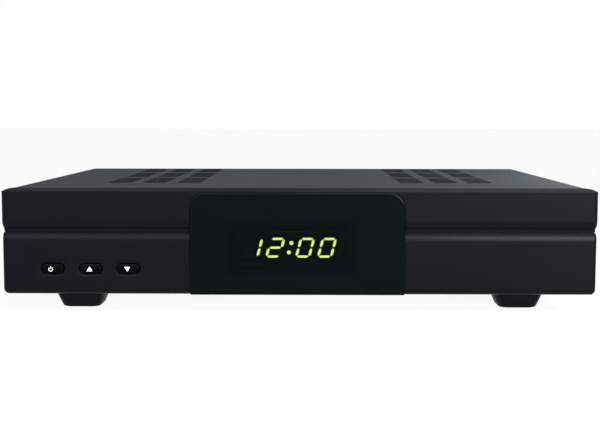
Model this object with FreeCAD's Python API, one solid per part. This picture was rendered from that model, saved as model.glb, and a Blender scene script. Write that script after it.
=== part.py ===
"""Satellite television receiver: a steel case with a moulded fascia, push buttons and a clock display.

Millimetres. While a piece is made, y = 0 is the face of the fascia and +y runs back into the case,
x = 0 is the middle of the width and z = 0 is the surface that the feet stand on. save() moves every
piece by the same amount, so that the origin lies under the middle of the whole.
"""

import FreeCAD, Part
import math
import os

Vector = FreeCAD.Vector

# Overall
FASCIA_WIDTH = 300.0
FASCIA_HEIGHT = 54.0
CASE_DEPTH = 218.0  # face of the fascia to the back of the cover
FLOOR_GAP = 8.0  # floor to the underside of the fascia
ANTENNA_REACH = 10.0  # antenna sockets beyond the back of the cover

# Sheet steel
SHEET = 0.8
BEND = 2.0  # outside radius of a bend
SHEET_GAP = 0.2
FASCIA_OVERHANG = 5.0  # end of the fascia beyond the side of the cover
COVER_SIDE_RISE = 0.4  # lower edge of the cover's sides above the underside of the tray
COVER_SEAM = 0.3
LIP_HEIGHT = 10.0  # the cover's turned-down back edge
LIP_RELIEF = 4.0
TRAY_RISE = 1.0  # underside of the tray above the underside of the fascia
TRAY_FLANGE = 9.0
PANEL_FLANGE = 9.0
TAB_WIDTH = 14.0
TAB_HEIGHT = 12.0
TAB_INSET = 35.0  # side of the cover to the middle of the last tab
TAB_POSITIONS = (-50.0, 25.0)  # middles of the other tabs

# Vents in the cover
VENT_GROUP_INSET = 65.8  # side of the cover to the middle of a group
VENT_COLUMNS = 3
VENT_COLUMN_PITCH = 18.6
VENT_ROWS = 3
VENT_ROW_GAP = 13.5
VENT_FRONT_MARGIN = 47.5
VENT_BACK_MARGIN = 5.5
VENT_SLOTS = 7
SLOT_LENGTH = 13.0
SLOT_WIDTH = 3.4

# Fascia
FASCIA_WALL = 3.0
FASCIA_DEPTH = 6.0
FASCIA_CORNER = 2.5  # upright front corners, seen from above
FOOT_CORNER = 3.0  # lower corners, seen from the front, and the rounded lower front edge
SHOULDER_WIDTH = 7.0  # fall of the top towards its ends
SHOULDER_DROP = 2.0
BEVEL_HEIGHT = 1.8
BEVEL_DEPTH = 1.4
RIDGE_WIDTH = 0.3
UPPER_BAND_HEIGHT = 16.5  # top of the fascia to where the face turns into the groove
GROOVE_TOP = 21.0
GROOVE_BOTTOM = 21.9
LOWER_BAND_TOP = 25.5
GROOVE_DEPTH = 1.5
LOWER_BAND_STEP = 0.4  # lower band behind the upper one
SKIRT_WALL = 2.0
SKIRT_LENGTH = 8.0
SKIRT_GAP = 0.15
RIB_THICKNESS = 1.2
RIB_COUNT = 3  # ribs between the window and the right end
RIB_WINDOW_GAP = 18.6
RIB_END_GAP = 21.0
BOSS_RADIUS = 3.0
BOSS_SIDES = 8

# Display window
WINDOW_WIDTH = 108.4
WINDOW_CENTRE = -0.8
WINDOW_CORNER = 8.0
WINDOW_PROUD = 1.0
WINDOW_THICKNESS = 2.8
WINDOW_EDGE = 0.8
WINDOW_GAP = 0.1

# Push buttons
BUTTON_NAMES = ("power", "up", "down")
BUTTON_INSET = 25.6  # end of the fascia to the middle of the first button
BUTTON_PITCH = 19.1
BUTTON_RISE = 13.1  # underside of the fascia to the middle of the buttons
BUTTON_WIDTH = 11.5
BUTTON_HEIGHT = 5.4
BUTTON_PROUD = 0.9
BUTTON_CROWN = 14.0  # radius of the rounded front
BUTTON_GAP = 0.35
BUTTON_SEAT_GAP = 0.3
BUTTON_RIM = 1.1  # the flange reaches this far past the hole
BUTTON_FLANGE = 1.0
BUTTON_TRAVEL = 0.6
SWITCH_SIDE = 6.0
SWITCH_DEPTH = 3.5
SWITCH_STEM_SIDE = 3.0
SWITCH_STEM_PROUD = 1.5
SWITCH_STEM_HIDDEN = 0.8
SWITCH_WELL_GAP = 0.3
SWITCH_WELL_SPARE = 0.4

# Clock display
DISPLAY_CENTRE = -4.5
DISPLAY_DROP = 30.4
DISPLAY_WIDTH = 50.0
DISPLAY_HEIGHT = 16.0
DISPLAY_DEPTH = 8.0
DISPLAY_OPENING_GAP = 0.6
DIGIT_PITCH = 11.1
COLON_SPACE = 4.0
DIGIT_WIDTH = 6.5  # between the middles of the uprights
DIGIT_HEIGHT = 9.0  # between the middles of the top and bottom bars
DIGIT_SLANT = 15.0
BAR_WIDTH = 1.3
BAR_GAP = 0.25
BAR_THICKNESS = 0.2
COLON_DOT_RADIUS = 1.15
COLON_DOT_SIDES = 8
COLON_DOT_SPACING = 4.8
SHOWN_TIME = "1200"

# Circuit boards
BOARD = 1.6
FRONT_BOARD_DEPTH = 12.0  # face of the fascia to the front of the board
FRONT_BOARD_PAST_BUTTON = 11.6  # end of the board beyond the middle of the first button
FRONT_BOARD_PAST_RECEIVER = 14.0
FRONT_BOARD_BELOW_BUTTONS = 7.1
FRONT_BOARD_ABOVE_DISPLAY = 16.4  # above the middle of the display
FRONT_SCREW_INSET = 5.0
FRONT_SCREW_EDGE = 4.0
FRONT_SCREW_PAST_BUTTON = 13.2  # the lower left screw beyond the middle of the last button
RECEIVER_POSITION = 34.0
RECEIVER_WIDTH = 6.0
RECEIVER_HEIGHT = 7.0
RECEIVER_DEPTH = 5.0
RECEIVER_LENS_RADIUS = 2.2
RECEIVER_HOLE = 8.0
POST_HEIGHT = 6.0
POST_RADIUS = 3.0
BOARD_BACK_GAP = 3.0  # back edges of the boards to the outside of the rear panel
MAIN_SIDE_GAP = 6.0  # side of the tray to the edge of the main board
MAIN_FRONT_PAST = 2.0  # front edge of the main board in front of the ribbon
MAIN_POST_INSET = 5.0
MAIN_POST_FRONT = 9.0
POWER_SIDE_GAP = 5.0
POWER_BOARD_WIDTH = 55.0
POWER_BOARD_LENGTH = 142.0
POWER_POST_INSET = 4.5
POWER_POST_FRONT = 6.0
BACK_POSTS = 24.0  # back edges of the boards to their back posts
BOARD_SPACING = 8.0

# Screws
HEX_SIDES = 6  # sides of screws, posts and collars, and of the small bores
SCREW_RADIUS = 1.3
SCREW_HEAD_RADIUS = 2.8
SCREW_HEAD_HEIGHT = 1.8
SCREW_GAP = 0.05  # hole that the thread bites into
SCREW_PASS = 0.4  # hole that the screw goes through freely
BOARD_SCREW_LENGTH = 6.0
COVER_SCREW_LENGTH = 5.0
FASCIA_SCREW_LENGTH = 3.6
COVER_SCREW_FRONT = 40.0
COVER_SCREW_BACK = 38.0
COVER_SCREW_HEIGHT = 4.6  # above the underside of the tray
LIP_SCREW_INSET = 35.0

# Feet
FOOT_INSET = 32.6  # side of the cover to the middle of a foot
FOOT_SETBACK = 20.0  # from the face of the fascia and from the back of the cover
FOOT_TOP = 27.0
FOOT_BOTTOM = 18.9
FOOT_EASE = 4.0
CORNER_FLATS = 3
FOOT_EDGE = 1.4
FOOT_BORE_RADIUS = 4.0
FOOT_WEB = 3.0
FOOT_SCREW_PAST = 2.4

# Back sockets
SOCKET_CLEARANCE = 0.3
TUNER_WIDTH = 46.0
TUNER_LENGTH = 32.0
TUNER_HEIGHT = 18.0
TUNER_SETBACK = 9.0  # behind the outside of the rear panel
TUNER_POST_GAP = 6.0  # side of the tuner to the middle of the post beside it
ANTENNA_INSET = 10.0  # side of the tuner to the middle of a socket
ANTENNA_HEIGHT = 9.2  # above the board
ANTENNA_RADIUS = 4.76
ANTENNA_SHOULDER_RADIUS = 5.7
ANTENNA_COLLAR_FLATS = 12.7
ANTENNA_BORE_RADIUS = 1.5
ANTENNA_BORE_DEPTH = 6.0
PHONO_COUNT = 4
PHONO_PITCH = 14.0
PHONO_HEIGHT = 9.5
PHONO_RADIUS = 4.15
PHONO_BORE_RADIUS = 1.65
BARREL_SIDES = 20
PHONO_REACH = 9.0
PHONO_BORE_DEPTH = 7.5
PHONO_PROUD = 0.4
PHONO_BLOCK_DEPTH = 13.0
PHONO_MARGIN = 7.0
TELEVISION_WIDTH = 47.0
TELEVISION_DEPTH = 17.0
TELEVISION_PITCH = 17.0
TELEVISION_SHELL = (43.0, 11.0)
TELEVISION_KEY = 5.0
TELEVISION_RING = 1.6
TELEVISION_RING_DEPTH = 9.0
TELEVISION_PROUD = 0.6
SERIAL_HEIGHT = 8.0
SERIAL_SHELL = (16.6, 8.0)
SERIAL_RAKE = 1.4
SERIAL_CHAMFER = 1.0
SERIAL_REACH = 5.8
SERIAL_BODY = (31.0, 12.5, 11.0)
SERIAL_POST_SPACING = 25.0
SERIAL_POST_FLATS = 4.8
SERIAL_POST_LENGTH = 4.6
INLET_POSITION = 28.0  # edge of the power board to the middle of the inlet
INLET_HEIGHT = 9.4
INLET_BODY = (21.0, 18.0, 20.0)
INLET_OPENING = (17.0, 9.0)
INLET_RECESS = 12.0
INLET_PIN_SPACING = 8.6
INLET_PIN_RADIUS = 1.2
INLET_PIN_LENGTH = 9.0
INLET_PROUD = 0.6

# Parts on the main board, across from its middle
PROCESSOR = (11.0, 110.0, 27.0, 2.2)  # middle x, middle y, side, height
HEAT_SINK_INSET = 1.0
HEAT_SINK_BASE = 2.0
HEAT_SINK_HEIGHT = 10.0
HEAT_SINK_FINS = 6
FIN_THICKNESS = 1.2
MEMORY_SIZE = (10.2, 22.0, 1.2)
MEMORY_POSITIONS = ((45.0, 96.0), (45.0, 126.0))
MAIN_CAPACITORS = ((-29.0, 60.0), (-13.0, 60.0), (71.0, 50.0), (85.0, 50.0))
CAPACITOR_RADIUS = 4.0
CAPACITOR_HEIGHT = 13.0
CAN_SIDES = 12
RIBBON_PAST_BUTTON = 34.2  # beyond the middle of the last button
RIBBON_WIDTH = 16.0
RIBBON_THICKNESS = 0.9
RIBBON_RUN = 4.4
RIBBON_RADIUS = 5.0
RIBBON_LAND = 26.0  # height at which the ribbon leaves the front board

# Parts on the power board, across from its inner edge and forwards from its back edge
BULK_CAPACITOR = (40.0, 64.0, 9.0, 27.0)  # middle across, middle forwards, radius, height
POWER_CAPACITORS = ((10.0, 128.0), (23.0, 132.0), (36.0, 132.0))
TRANSFORMER = (37.0, 100.0)
CORE_SIZE = (28.0, 9.0, 24.0)
CORE_LEG = 4.0
CORE_MIDDLE_LEG = 8.0
WINDING_DEPTH = 21.0
WINDING_CHAMFER = 2.0
WINDING_GAP = 0.2
CHOKE = (14.0, 42.0)
CHOKE_SIZE = (20.0, 8.0, 20.0)
CHOKE_LEG = 4.0
CHOKE_WINDING_DEPTH = 12.0
FUSE = (48.5, 38.0, 4.0, 8.5, 8.0)  # middle across, middle forwards, width, length, height
FUSE_CHAMFER = 0.8
POWER_SINK = (6.0, 74.0, 40.0, 24.0)  # face across, middle forwards, length, height
POWER_SINK_BASE = 2.0
POWER_SINK_FIN = 7.0
TRANSISTOR_SIZE = (4.4, 10.0, 15.0)
INSULATOR_MARGIN = 2.0
INSULATOR_THICKNESS = 0.4
HARNESS_SINK_GAP = 9.0  # plug to the front of the power heat sink
HARNESS_WIDTH = 12.0
HARNESS_THICKNESS = 1.5
HARNESS_INSET = 9.0  # edges of the boards to the middles of the plugs
HARNESS_RISE = 3.0
HARNESS_RADIUS = 5.0
PLUG_SIZE = (6.0, 14.0, 7.0)

# Sizes and places that follow from them
COVER_WIDTH = FASCIA_WIDTH - 2 * FASCIA_OVERHANG
TOP = FLOOR_GAP + FASCIA_HEIGHT
TRAY_UNDER = FLOOR_GAP + TRAY_RISE
TRAY_FLOOR = TRAY_UNDER + SHEET
TRAY_HALF = COVER_WIDTH / 2 - SHEET - SHEET_GAP
TRAY_FRONT = FASCIA_DEPTH + COVER_SEAM
COVER_FRONT = BEVEL_DEPTH + RIDGE_WIDTH + COVER_SEAM
PANEL_FACE = CASE_DEPTH - SHEET - SHEET_GAP  # outside of the rear panel
PANEL_HALF = TRAY_HALF - SHEET - SHEET_GAP
PANEL_TOP = TOP - SHEET - SHEET_GAP
SKIRT_TOP = TOP - SHEET - SKIRT_GAP
BOARD_UNDER = TRAY_FLOOR + POST_HEIGHT
BOARD_TOP = BOARD_UNDER + BOARD
SOCKET_FACE = PANEL_FACE - SHEET - SOCKET_CLEARANCE  # socket blocks stop here, inside the panel
BUTTON_Z = FLOOR_GAP + BUTTON_RISE
DISPLAY_Z = TOP - DISPLAY_DROP
DISPLAY_FRONT = FRONT_BOARD_DEPTH - DISPLAY_DEPTH
SWITCH_FRONT = FRONT_BOARD_DEPTH - SWITCH_DEPTH
FOOT_POSITIONS = [
    (side * (COVER_WIDTH / 2 - FOOT_INSET), depth)
    for depth in (FOOT_SETBACK, CASE_DEPTH - FOOT_SETBACK)
    for side in (-1, 1)
]
BUTTON_POSITIONS = [BUTTON_INSET - FASCIA_WIDTH / 2 + k * BUTTON_PITCH for k in range(len(BUTTON_NAMES))]
FRONT_LEFT = BUTTON_POSITIONS[0] - FRONT_BOARD_PAST_BUTTON
FRONT_RIGHT = RECEIVER_POSITION + FRONT_BOARD_PAST_RECEIVER
FRONT_LOW = BUTTON_Z - FRONT_BOARD_BELOW_BUTTONS
FRONT_HIGH = DISPLAY_Z + FRONT_BOARD_ABOVE_DISPLAY
FRONT_BOSSES = [
    (FRONT_LEFT + FRONT_SCREW_INSET, FRONT_HIGH - FRONT_SCREW_EDGE),
    (FRONT_RIGHT - FRONT_SCREW_INSET, FRONT_HIGH - FRONT_SCREW_EDGE),
    (BUTTON_POSITIONS[-1] + FRONT_SCREW_PAST_BUTTON, FRONT_LOW + FRONT_SCREW_EDGE),
    (FRONT_RIGHT - FRONT_SCREW_INSET, FRONT_LOW + FRONT_SCREW_EDGE),
]
RIBBON_X = BUTTON_POSITIONS[-1] + RIBBON_PAST_BUTTON
RIBBON_Y = FRONT_BOARD_DEPTH + BOARD + RIBBON_RUN + RIBBON_RADIUS

# Edges of the boards, seen from above
BOARD_BACK = PANEL_FACE - BOARD_BACK_GAP
POWER_RIGHT = TRAY_HALF - POWER_SIDE_GAP
POWER_LEFT = POWER_RIGHT - POWER_BOARD_WIDTH
POWER_FRONT = BOARD_BACK - POWER_BOARD_LENGTH
MAIN_LEFT = MAIN_SIDE_GAP - TRAY_HALF
MAIN_RIGHT = POWER_LEFT - BOARD_SPACING
MAIN_MIDDLE = (MAIN_LEFT + MAIN_RIGHT) / 2
MAIN_FRONT = RIBBON_Y - MAIN_FRONT_PAST
MAIN_POSTS = [
    (MAIN_LEFT + MAIN_POST_INSET, MAIN_FRONT + MAIN_POST_FRONT),
    (MAIN_RIGHT - MAIN_POST_INSET, MAIN_FRONT + MAIN_POST_FRONT),
    (MAIN_LEFT + TUNER_WIDTH + TUNER_POST_GAP, BOARD_BACK - BACK_POSTS),
    (MAIN_RIGHT - MAIN_POST_INSET, BOARD_BACK - BACK_POSTS),
]
POWER_POSTS = [
    (x, y)
    for y in (POWER_FRONT + POWER_POST_FRONT, BOARD_BACK - BACK_POSTS)
    for x in (POWER_LEFT + POWER_POST_INSET, POWER_RIGHT - POWER_POST_INSET)
]

# The sockets stand in a row on the main board, with equal gaps between them
PHONO_WIDTH = (PHONO_COUNT - 1) * PHONO_PITCH + 2 * PHONO_MARGIN
SOCKET_WIDTHS = TUNER_WIDTH + PHONO_WIDTH + TELEVISION_WIDTH + SERIAL_BODY[0]
SOCKET_GAP = (MAIN_RIGHT - MAIN_LEFT - SOCKET_WIDTHS) / 4
PHONO_LEFT = MAIN_LEFT + TUNER_WIDTH + SOCKET_GAP
TELEVISION_LEFT = PHONO_LEFT + PHONO_WIDTH + SOCKET_GAP
TELEVISION_CENTRE = TELEVISION_LEFT + TELEVISION_WIDTH / 2
SERIAL_CENTRE = MAIN_RIGHT - SOCKET_GAP - SERIAL_BODY[0] / 2
INLET_CENTRE = POWER_LEFT + INLET_POSITION
ANTENNA_POSITIONS = (MAIN_LEFT + ANTENNA_INSET, MAIN_LEFT + TUNER_WIDTH - ANTENNA_INSET)
PHONO_POSITIONS = [PHONO_LEFT + PHONO_MARGIN + k * PHONO_PITCH for k in range(PHONO_COUNT)]
LIP_SCREW_POSITIONS = (
    LIP_SCREW_INSET - COVER_WIDTH / 2,
    TELEVISION_LEFT - SOCKET_GAP / 2,
    COVER_WIDTH / 2 - LIP_SCREW_INSET,
)
MIDDLE_DEPTH = (CASE_DEPTH + ANTENNA_REACH - WINDOW_PROUD) / 2


# Shapes that many pieces use


def box(x0, x1, y0, y1, z0, z1):
    """A block between two corners, given in any order."""
    low = Vector(min(x0, x1), min(y0, y1), min(z0, z1))
    return Part.makeBox(abs(x1 - x0), abs(y1 - y0), abs(z1 - z0), low)


def rod(radius, start, end):
    """A round bar from one point to another."""
    along = Vector(*end) - Vector(*start)
    return Part.makeCylinder(radius, along.Length, Vector(*start), along)


def union(shapes):
    """One solid out of shapes that touch or overlap."""
    return shapes[0].multiFuse(list(shapes[1:])).removeSplitter()


def less(shape, cutters):
    """The shape with every cutter taken away."""
    return shape.cut(Part.makeCompound(list(cutters)))


def edges_at(shape, direction, reach):
    """Straight edges along a direction whose middle passes the test reach(middle)."""
    found = []
    for edge in shape.Edges:
        if not isinstance(edge.Curve, Part.Line):
            continue
        run = edge.Vertexes[-1].Point - edge.Vertexes[0].Point
        if run.cross(direction).Length < 1e-6 and reach(edge.CenterOfMass):
            found.append(edge)
    return found


def upright_outline(points, y):
    """A closed outline in the plane of the fascia, at depth y, through (x, z) points."""
    corners = [Vector(x, y, z) for x, z in points]
    return Part.makePolygon(corners + corners[:1])


def prism(wire, along):
    """The solid that an outline sweeps when it moves along a vector."""
    return Part.Face(wire).extrude(Vector(*along))


def obround(width, height, x, z, y0, y1):
    """A slot-shaped bar with round ends, lying along x, from depth y0 to y1."""
    radius = height / 2
    reach = width / 2 - radius
    middle = box(x - reach, x + reach, y0, y1, z - radius, z + radius)
    ends = [rod(radius, (x + side * reach, y0, z), (x + side * reach, y1, z)) for side in (-1, 1)]
    return union([middle] + ends)


def eased_square(side, ease, x, y, z):
    """A closed wire, lying flat: a square whose corners are eased by a few short flats on an arc."""
    reach = side / 2 - ease
    corners = []
    for quarter in range(4):
        turn = math.radians(45 + 90 * quarter)
        across = math.copysign(reach, math.cos(turn))
        along = math.copysign(reach, math.sin(turn))
        for step in range(CORNER_FLATS + 1):
            angle = math.radians(90 * quarter + 90 * step / CORNER_FLATS)
            turned = (x + across + ease * math.cos(angle), y + along + ease * math.sin(angle))
            corners.append(Vector(*turned, z))
    return Part.makePolygon(corners + corners[:1])


def sided_bar(sides, radius, start, end):
    """A straight bar with flat sides, from one point to another, round a circle of the given radius.

    It makes hexagonal parts, and stands for small round ones, which are drawn with few faces.
    """
    begin = Vector(*start)
    along = Vector(*end) - begin
    side = Vector(1, 0, 0) if abs(along.z) > 0.9 * along.Length else Vector(0, 0, 1)
    over = Vector(along).normalize().cross(side)
    reach = radius / math.cos(math.pi / sides)
    corners = []
    for k in range(sides):
        angle = (2 * k + 1) * math.pi / sides
        corners.append(begin + side * (reach * math.cos(angle)) + over * (reach * math.sin(angle)))
    return Part.Face(Part.makePolygon(corners + corners[:1])).extrude(along)


def shank_hole(gap, start, end):
    """A hole for a screw's shank, wider by a gap all round."""
    return sided_bar(HEX_SIDES, SCREW_RADIUS + gap, start, end)


def bent_channel(half_width, wall, bend, y0, y1, web, lips):
    """A sheet bent along both long sides; web and lips are the heights of its back and its edges."""
    inward = math.copysign(wall, lips - web)

    def block(half, height, radius):
        shape = box(-half, half, y0, y1, height, lips)
        return shape.makeFillet(
            radius, edges_at(shape, Vector(0, 1, 0), lambda middle: abs(middle.z - height) < 1e-3)
        )

    return block(half_width, web, bend).cut(block(half_width - wall, web + inward, bend - wall))


def bent_angle(x0, x1, face_y, reach_y, face_z, reach_z):
    """An L of sheet: its legs lie against face_y and face_z, meet in a bend and end at the reaches."""

    def block(inset, radius):
        y = face_y + math.copysign(inset, reach_y - face_y)
        z = face_z + math.copysign(inset, reach_z - face_z)
        shape = box(x0, x1, y, reach_y, z, reach_z)
        corner = edges_at(
            shape, Vector(1, 0, 0), lambda middle: abs(middle.y - y) < 1e-3 and abs(middle.z - z) < 1e-3
        )
        return shape.makeFillet(radius, corner)

    return block(0, BEND).cut(block(SHEET, BEND - SHEET))


def screw(seat, along, length):
    """A hexagonal-headed screw: its head sits on the point seat, its shank runs along a unit vector."""
    start = Vector(*seat)
    way = Vector(*along)
    head = sided_bar(HEX_SIDES, SCREW_HEAD_RADIUS, start - way * SCREW_HEAD_HEIGHT, start)
    shank = sided_bar(HEX_SIDES, SCREW_RADIUS, start, start + way * length)
    return union([head, shank])


def screws(seats, length):
    """A screw in every seat, each seat being a point under the head and the way the screw points."""
    return [screw(seat, along, length) for seat, along in seats]


def save(name, *shapes):
    """Write one node; several shapes make a group of separate solids."""
    shape = shapes[0] if len(shapes) == 1 else Part.makeCompound(list(shapes))
    moved = shape.copy()
    moved.translate(Vector(0, -MIDDLE_DEPTH, 0))
    moved.exportStep(os.path.join("parts", name + ".step"))


# Case


def vent_slots():
    """Every slot of both vent groups, as cutters that pass through the top of the cover."""
    field = CASE_DEPTH - VENT_FRONT_MARGIN - VENT_BACK_MARGIN
    block = (field - (VENT_ROWS - 1) * VENT_ROW_GAP) / VENT_ROWS
    pitch = (block - SLOT_WIDTH) / (VENT_SLOTS - 1)
    offset = COVER_WIDTH / 2 - VENT_GROUP_INSET
    half = SLOT_LENGTH / 2
    slots = []
    for side in (-1, 1):
        for column in range(VENT_COLUMNS):
            x = side * offset + (column - (VENT_COLUMNS - 1) / 2) * VENT_COLUMN_PITCH
            for row in range(VENT_ROWS):
                start = VENT_FRONT_MARGIN + row * (block + VENT_ROW_GAP)
                for y in [start + slot * pitch for slot in range(VENT_SLOTS)]:
                    slots.append(box(x - half, x + half, y, y + SLOT_WIDTH, TOP - 2 * SHEET, TOP + SHEET))
    return slots


def cover_screw_seats():
    """Where the cover's screws sit: the point under each head and the way the screw points."""
    seats = []
    for side in (-1, 1):
        for depth in (COVER_SCREW_FRONT, CASE_DEPTH - COVER_SCREW_BACK):
            seats.append(((side * COVER_WIDTH / 2, depth, TRAY_UNDER + COVER_SCREW_HEIGHT), (-side, 0, 0)))
    for x in LIP_SCREW_POSITIONS:
        seats.append(((x, CASE_DEPTH, TOP - LIP_HEIGHT / 2), (0, -1, 0)))
    return seats


def screw_holes(seats, gap, length):
    """Straight holes on the screws' axes, starting just outside each seat."""
    holes = []
    for seat, along in seats:
        start = Vector(*seat)
        way = Vector(*along)
        holes.append(shank_hole(gap, start - way, start + way * length))
    return holes


def top_cover():
    """The folded cover: top and sides, a tongue over the fascia and a lip down over the rear panel."""
    half = COVER_WIDTH / 2
    body = bent_channel(half, SHEET, BEND, COVER_FRONT, PANEL_FACE, TOP, TRAY_UNDER + COVER_SIDE_RISE)
    tongue_half = half - BEND
    corners = [
        box(side * tongue_half, side * (half + 1), COVER_FRONT - 1, TRAY_FRONT, 0, TOP + 1)
        for side in (-1, 1)
    ]
    top_end = box(-half - 1, half + 1, CASE_DEPTH - BEND, CASE_DEPTH, TOP - BEND, TOP + 1)
    lip_half = half - LIP_RELIEF
    lip = bent_angle(-lip_half, lip_half, CASE_DEPTH, CASE_DEPTH - 2 * BEND, TOP, TOP - LIP_HEIGHT)
    shell = union([less(body, corners + [top_end]), lip])
    holes = screw_holes(cover_screw_seats(), SCREW_PASS, SHEET)
    notch = television_block(SOCKET_CLEARANCE, PANEL_FACE, CASE_DEPTH + 1)
    return less(shell, vent_slots() + holes + [notch])


def foot_screw_holes():
    """The tray's holes over the feet."""
    below = TRAY_UNDER - 1
    return [shank_hole(SCREW_GAP, (x, y, below), (x, y, TRAY_FLOOR + 1)) for x, y in FOOT_POSITIONS]


def tab_places():
    """The middles of the tray's front tabs."""
    return [*TAB_POSITIONS, COVER_WIDTH / 2 - TAB_INSET]


def fascia_screw_seats():
    """Where the fascia's screws sit, on the back of the tray's front tabs."""
    height = TRAY_UNDER + TAB_HEIGHT / 2
    return [((x, TRAY_FRONT + SHEET, height), (0, -1, 0)) for x in tab_places()]


def chassis_tray():
    """The tray: a floor with low sides and three tabs that the fascia is screwed to."""
    side_top = TRAY_UNDER + TRAY_FLANGE
    floor = bent_channel(TRAY_HALF, SHEET, BEND, TRAY_FRONT, PANEL_FACE, TRAY_UNDER, side_top)
    tabs = [
        bent_angle(
            x - TAB_WIDTH / 2,
            x + TAB_WIDTH / 2,
            TRAY_FRONT,
            TRAY_FRONT + 2 * BEND,
            TRAY_UNDER,
            TRAY_UNDER + TAB_HEIGHT,
        )
        for x in tab_places()
    ]
    corners = [
        box(x - TAB_WIDTH / 2, x + TAB_WIDTH / 2, TRAY_FRONT, TRAY_FRONT + BEND, 0, TRAY_FLOOR)
        for x in tab_places()
    ]
    tray = union([less(floor, corners)] + tabs)
    side_holes = screw_holes(cover_screw_seats()[:4], SCREW_GAP, COVER_SCREW_LENGTH)
    tab_holes = screw_holes(fascia_screw_seats(), SCREW_PASS, SHEET)
    return less(tray, foot_screw_holes() + side_holes + tab_holes)


def rear_panel():
    """The rear panel: a plate with a flange at its top and foot, pierced for every socket."""
    waist = (TRAY_FLOOR + PANEL_TOP) / 2
    flange = PANEL_FACE - PANEL_FLANGE
    lower = bent_angle(-PANEL_HALF, PANEL_HALF, PANEL_FACE, flange, TRAY_FLOOR, waist)
    upper = bent_angle(-PANEL_HALF, PANEL_HALF, PANEL_FACE, flange, PANEL_TOP, waist)
    inside = PANEL_FACE - 2 * SHEET
    outside = PANEL_FACE + SHEET
    cuts = []
    for x in ANTENNA_POSITIONS:
        cuts.append(antenna_shoulder(x, SOCKET_CLEARANCE, inside, outside))
    cuts.append(phono_face(SOCKET_CLEARANCE, inside, outside))
    cuts.append(television_block(SOCKET_CLEARANCE, inside, outside))
    cuts.append(serial_shell(SOCKET_CLEARANCE, inside, outside))
    for x, z in serial_post_places():
        cuts.append(shank_hole(SCREW_PASS, (x, inside, z), (x, outside, z)))
    cuts.append(inlet_block(SOCKET_CLEARANCE, inside, outside))
    cuts += screw_holes(cover_screw_seats()[4:], SCREW_GAP, COVER_SCREW_LENGTH)
    for side in (-1, 1):
        corner = TRAY_HALF - BEND - SHEET_GAP
        cuts.append(
            box(side * corner, side * TRAY_HALF, flange - 1, outside, TRAY_UNDER, TRAY_FLOOR + BEND)
        )
    return less(union([lower, upper]), cuts)


# Fascia and window


def fascia_plan(inset, z0, z1):
    """A slab of the fascia's plan shape: square at the back, round at both front corners."""
    half = FASCIA_WIDTH / 2 - inset
    slab = box(-half, half, inset, FASCIA_DEPTH, z0, z1)
    corners = edges_at(slab, Vector(0, 0, 1), lambda middle: middle.y < FASCIA_DEPTH / 2)
    return slab.makeFillet(FASCIA_CORNER - inset, corners)


def fascia_front_view():
    """The fascia's outline from the front: a falling shoulder at each end of the top, round below."""
    half = FASCIA_WIDTH / 2
    low = half - LOWER_BAND_STEP
    bottom = FLOOR_GAP
    y = -1.0

    def arc(start, middle, end):
        points = [Vector(x, y, z) for x, z in (start, middle, end)]
        return Part.Arc(*points).toShape()

    def line(start, end):
        return Part.LineSegment(Vector(start[0], y, start[1]), Vector(end[0], y, end[1])).toShape()

    cut_off = FOOT_CORNER * (1 - math.sqrt(0.5))
    fall = 0.33 * SHOULDER_WIDTH
    edges = []
    for side in (-1, 1):
        toe = (side * (low - FOOT_CORNER), bottom)
        heel = (side * low, bottom + FOOT_CORNER)
        out = (side * (half + 1), bottom + FOOT_CORNER)
        up = (side * (half + 1), TOP - SHOULDER_DROP)
        shoulder = (side * half, TOP - SHOULDER_DROP)
        top = (side * (half - SHOULDER_WIDTH), TOP)
        edges.append(arc(toe, (side * (low - cut_off), bottom + cut_off), heel))
        edges.append(line(heel, out))
        edges.append(line(out, up))
        edges.append(line(up, shoulder))
        crest = (side * (half - fall), TOP - fall * SHOULDER_DROP / SHOULDER_WIDTH)
        edges.append(arc(shoulder, crest, top))
    edges.append(line((-low + FOOT_CORNER, bottom), (low - FOOT_CORNER, bottom)))
    edges.append(line((-half + SHOULDER_WIDTH, TOP), (half - SHOULDER_WIDTH, TOP)))
    return Part.Wire(Part.__sortEdges__(edges))


def fascia_side_view():
    """The fascia's outline from the side: bevelled above, rounded under the lower front edge."""
    bottom = FLOOR_GAP
    x = -FASCIA_WIDTH / 2 - 1
    step = LOWER_BAND_STEP
    cut_off = FOOT_CORNER * (1 - math.sqrt(0.5))

    def at(y, z):
        return Vector(x, y, z)

    arc = Part.Arc(
        at(step, bottom + FOOT_CORNER),
        at(step + cut_off, bottom + cut_off),
        at(step + FOOT_CORNER, bottom),
    ).toShape()
    run = [
        at(step + FOOT_CORNER, bottom),
        at(FASCIA_DEPTH, bottom),
        at(FASCIA_DEPTH, TOP),
        at(BEVEL_DEPTH, TOP),
        at(0, TOP - BEVEL_HEIGHT),
        at(-1, TOP - BEVEL_HEIGHT),
        at(-1, bottom + FOOT_CORNER),
        at(step, bottom + FOOT_CORNER),
    ]
    return Part.Wire([arc] + Part.makePolygon(run).Edges)


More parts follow.
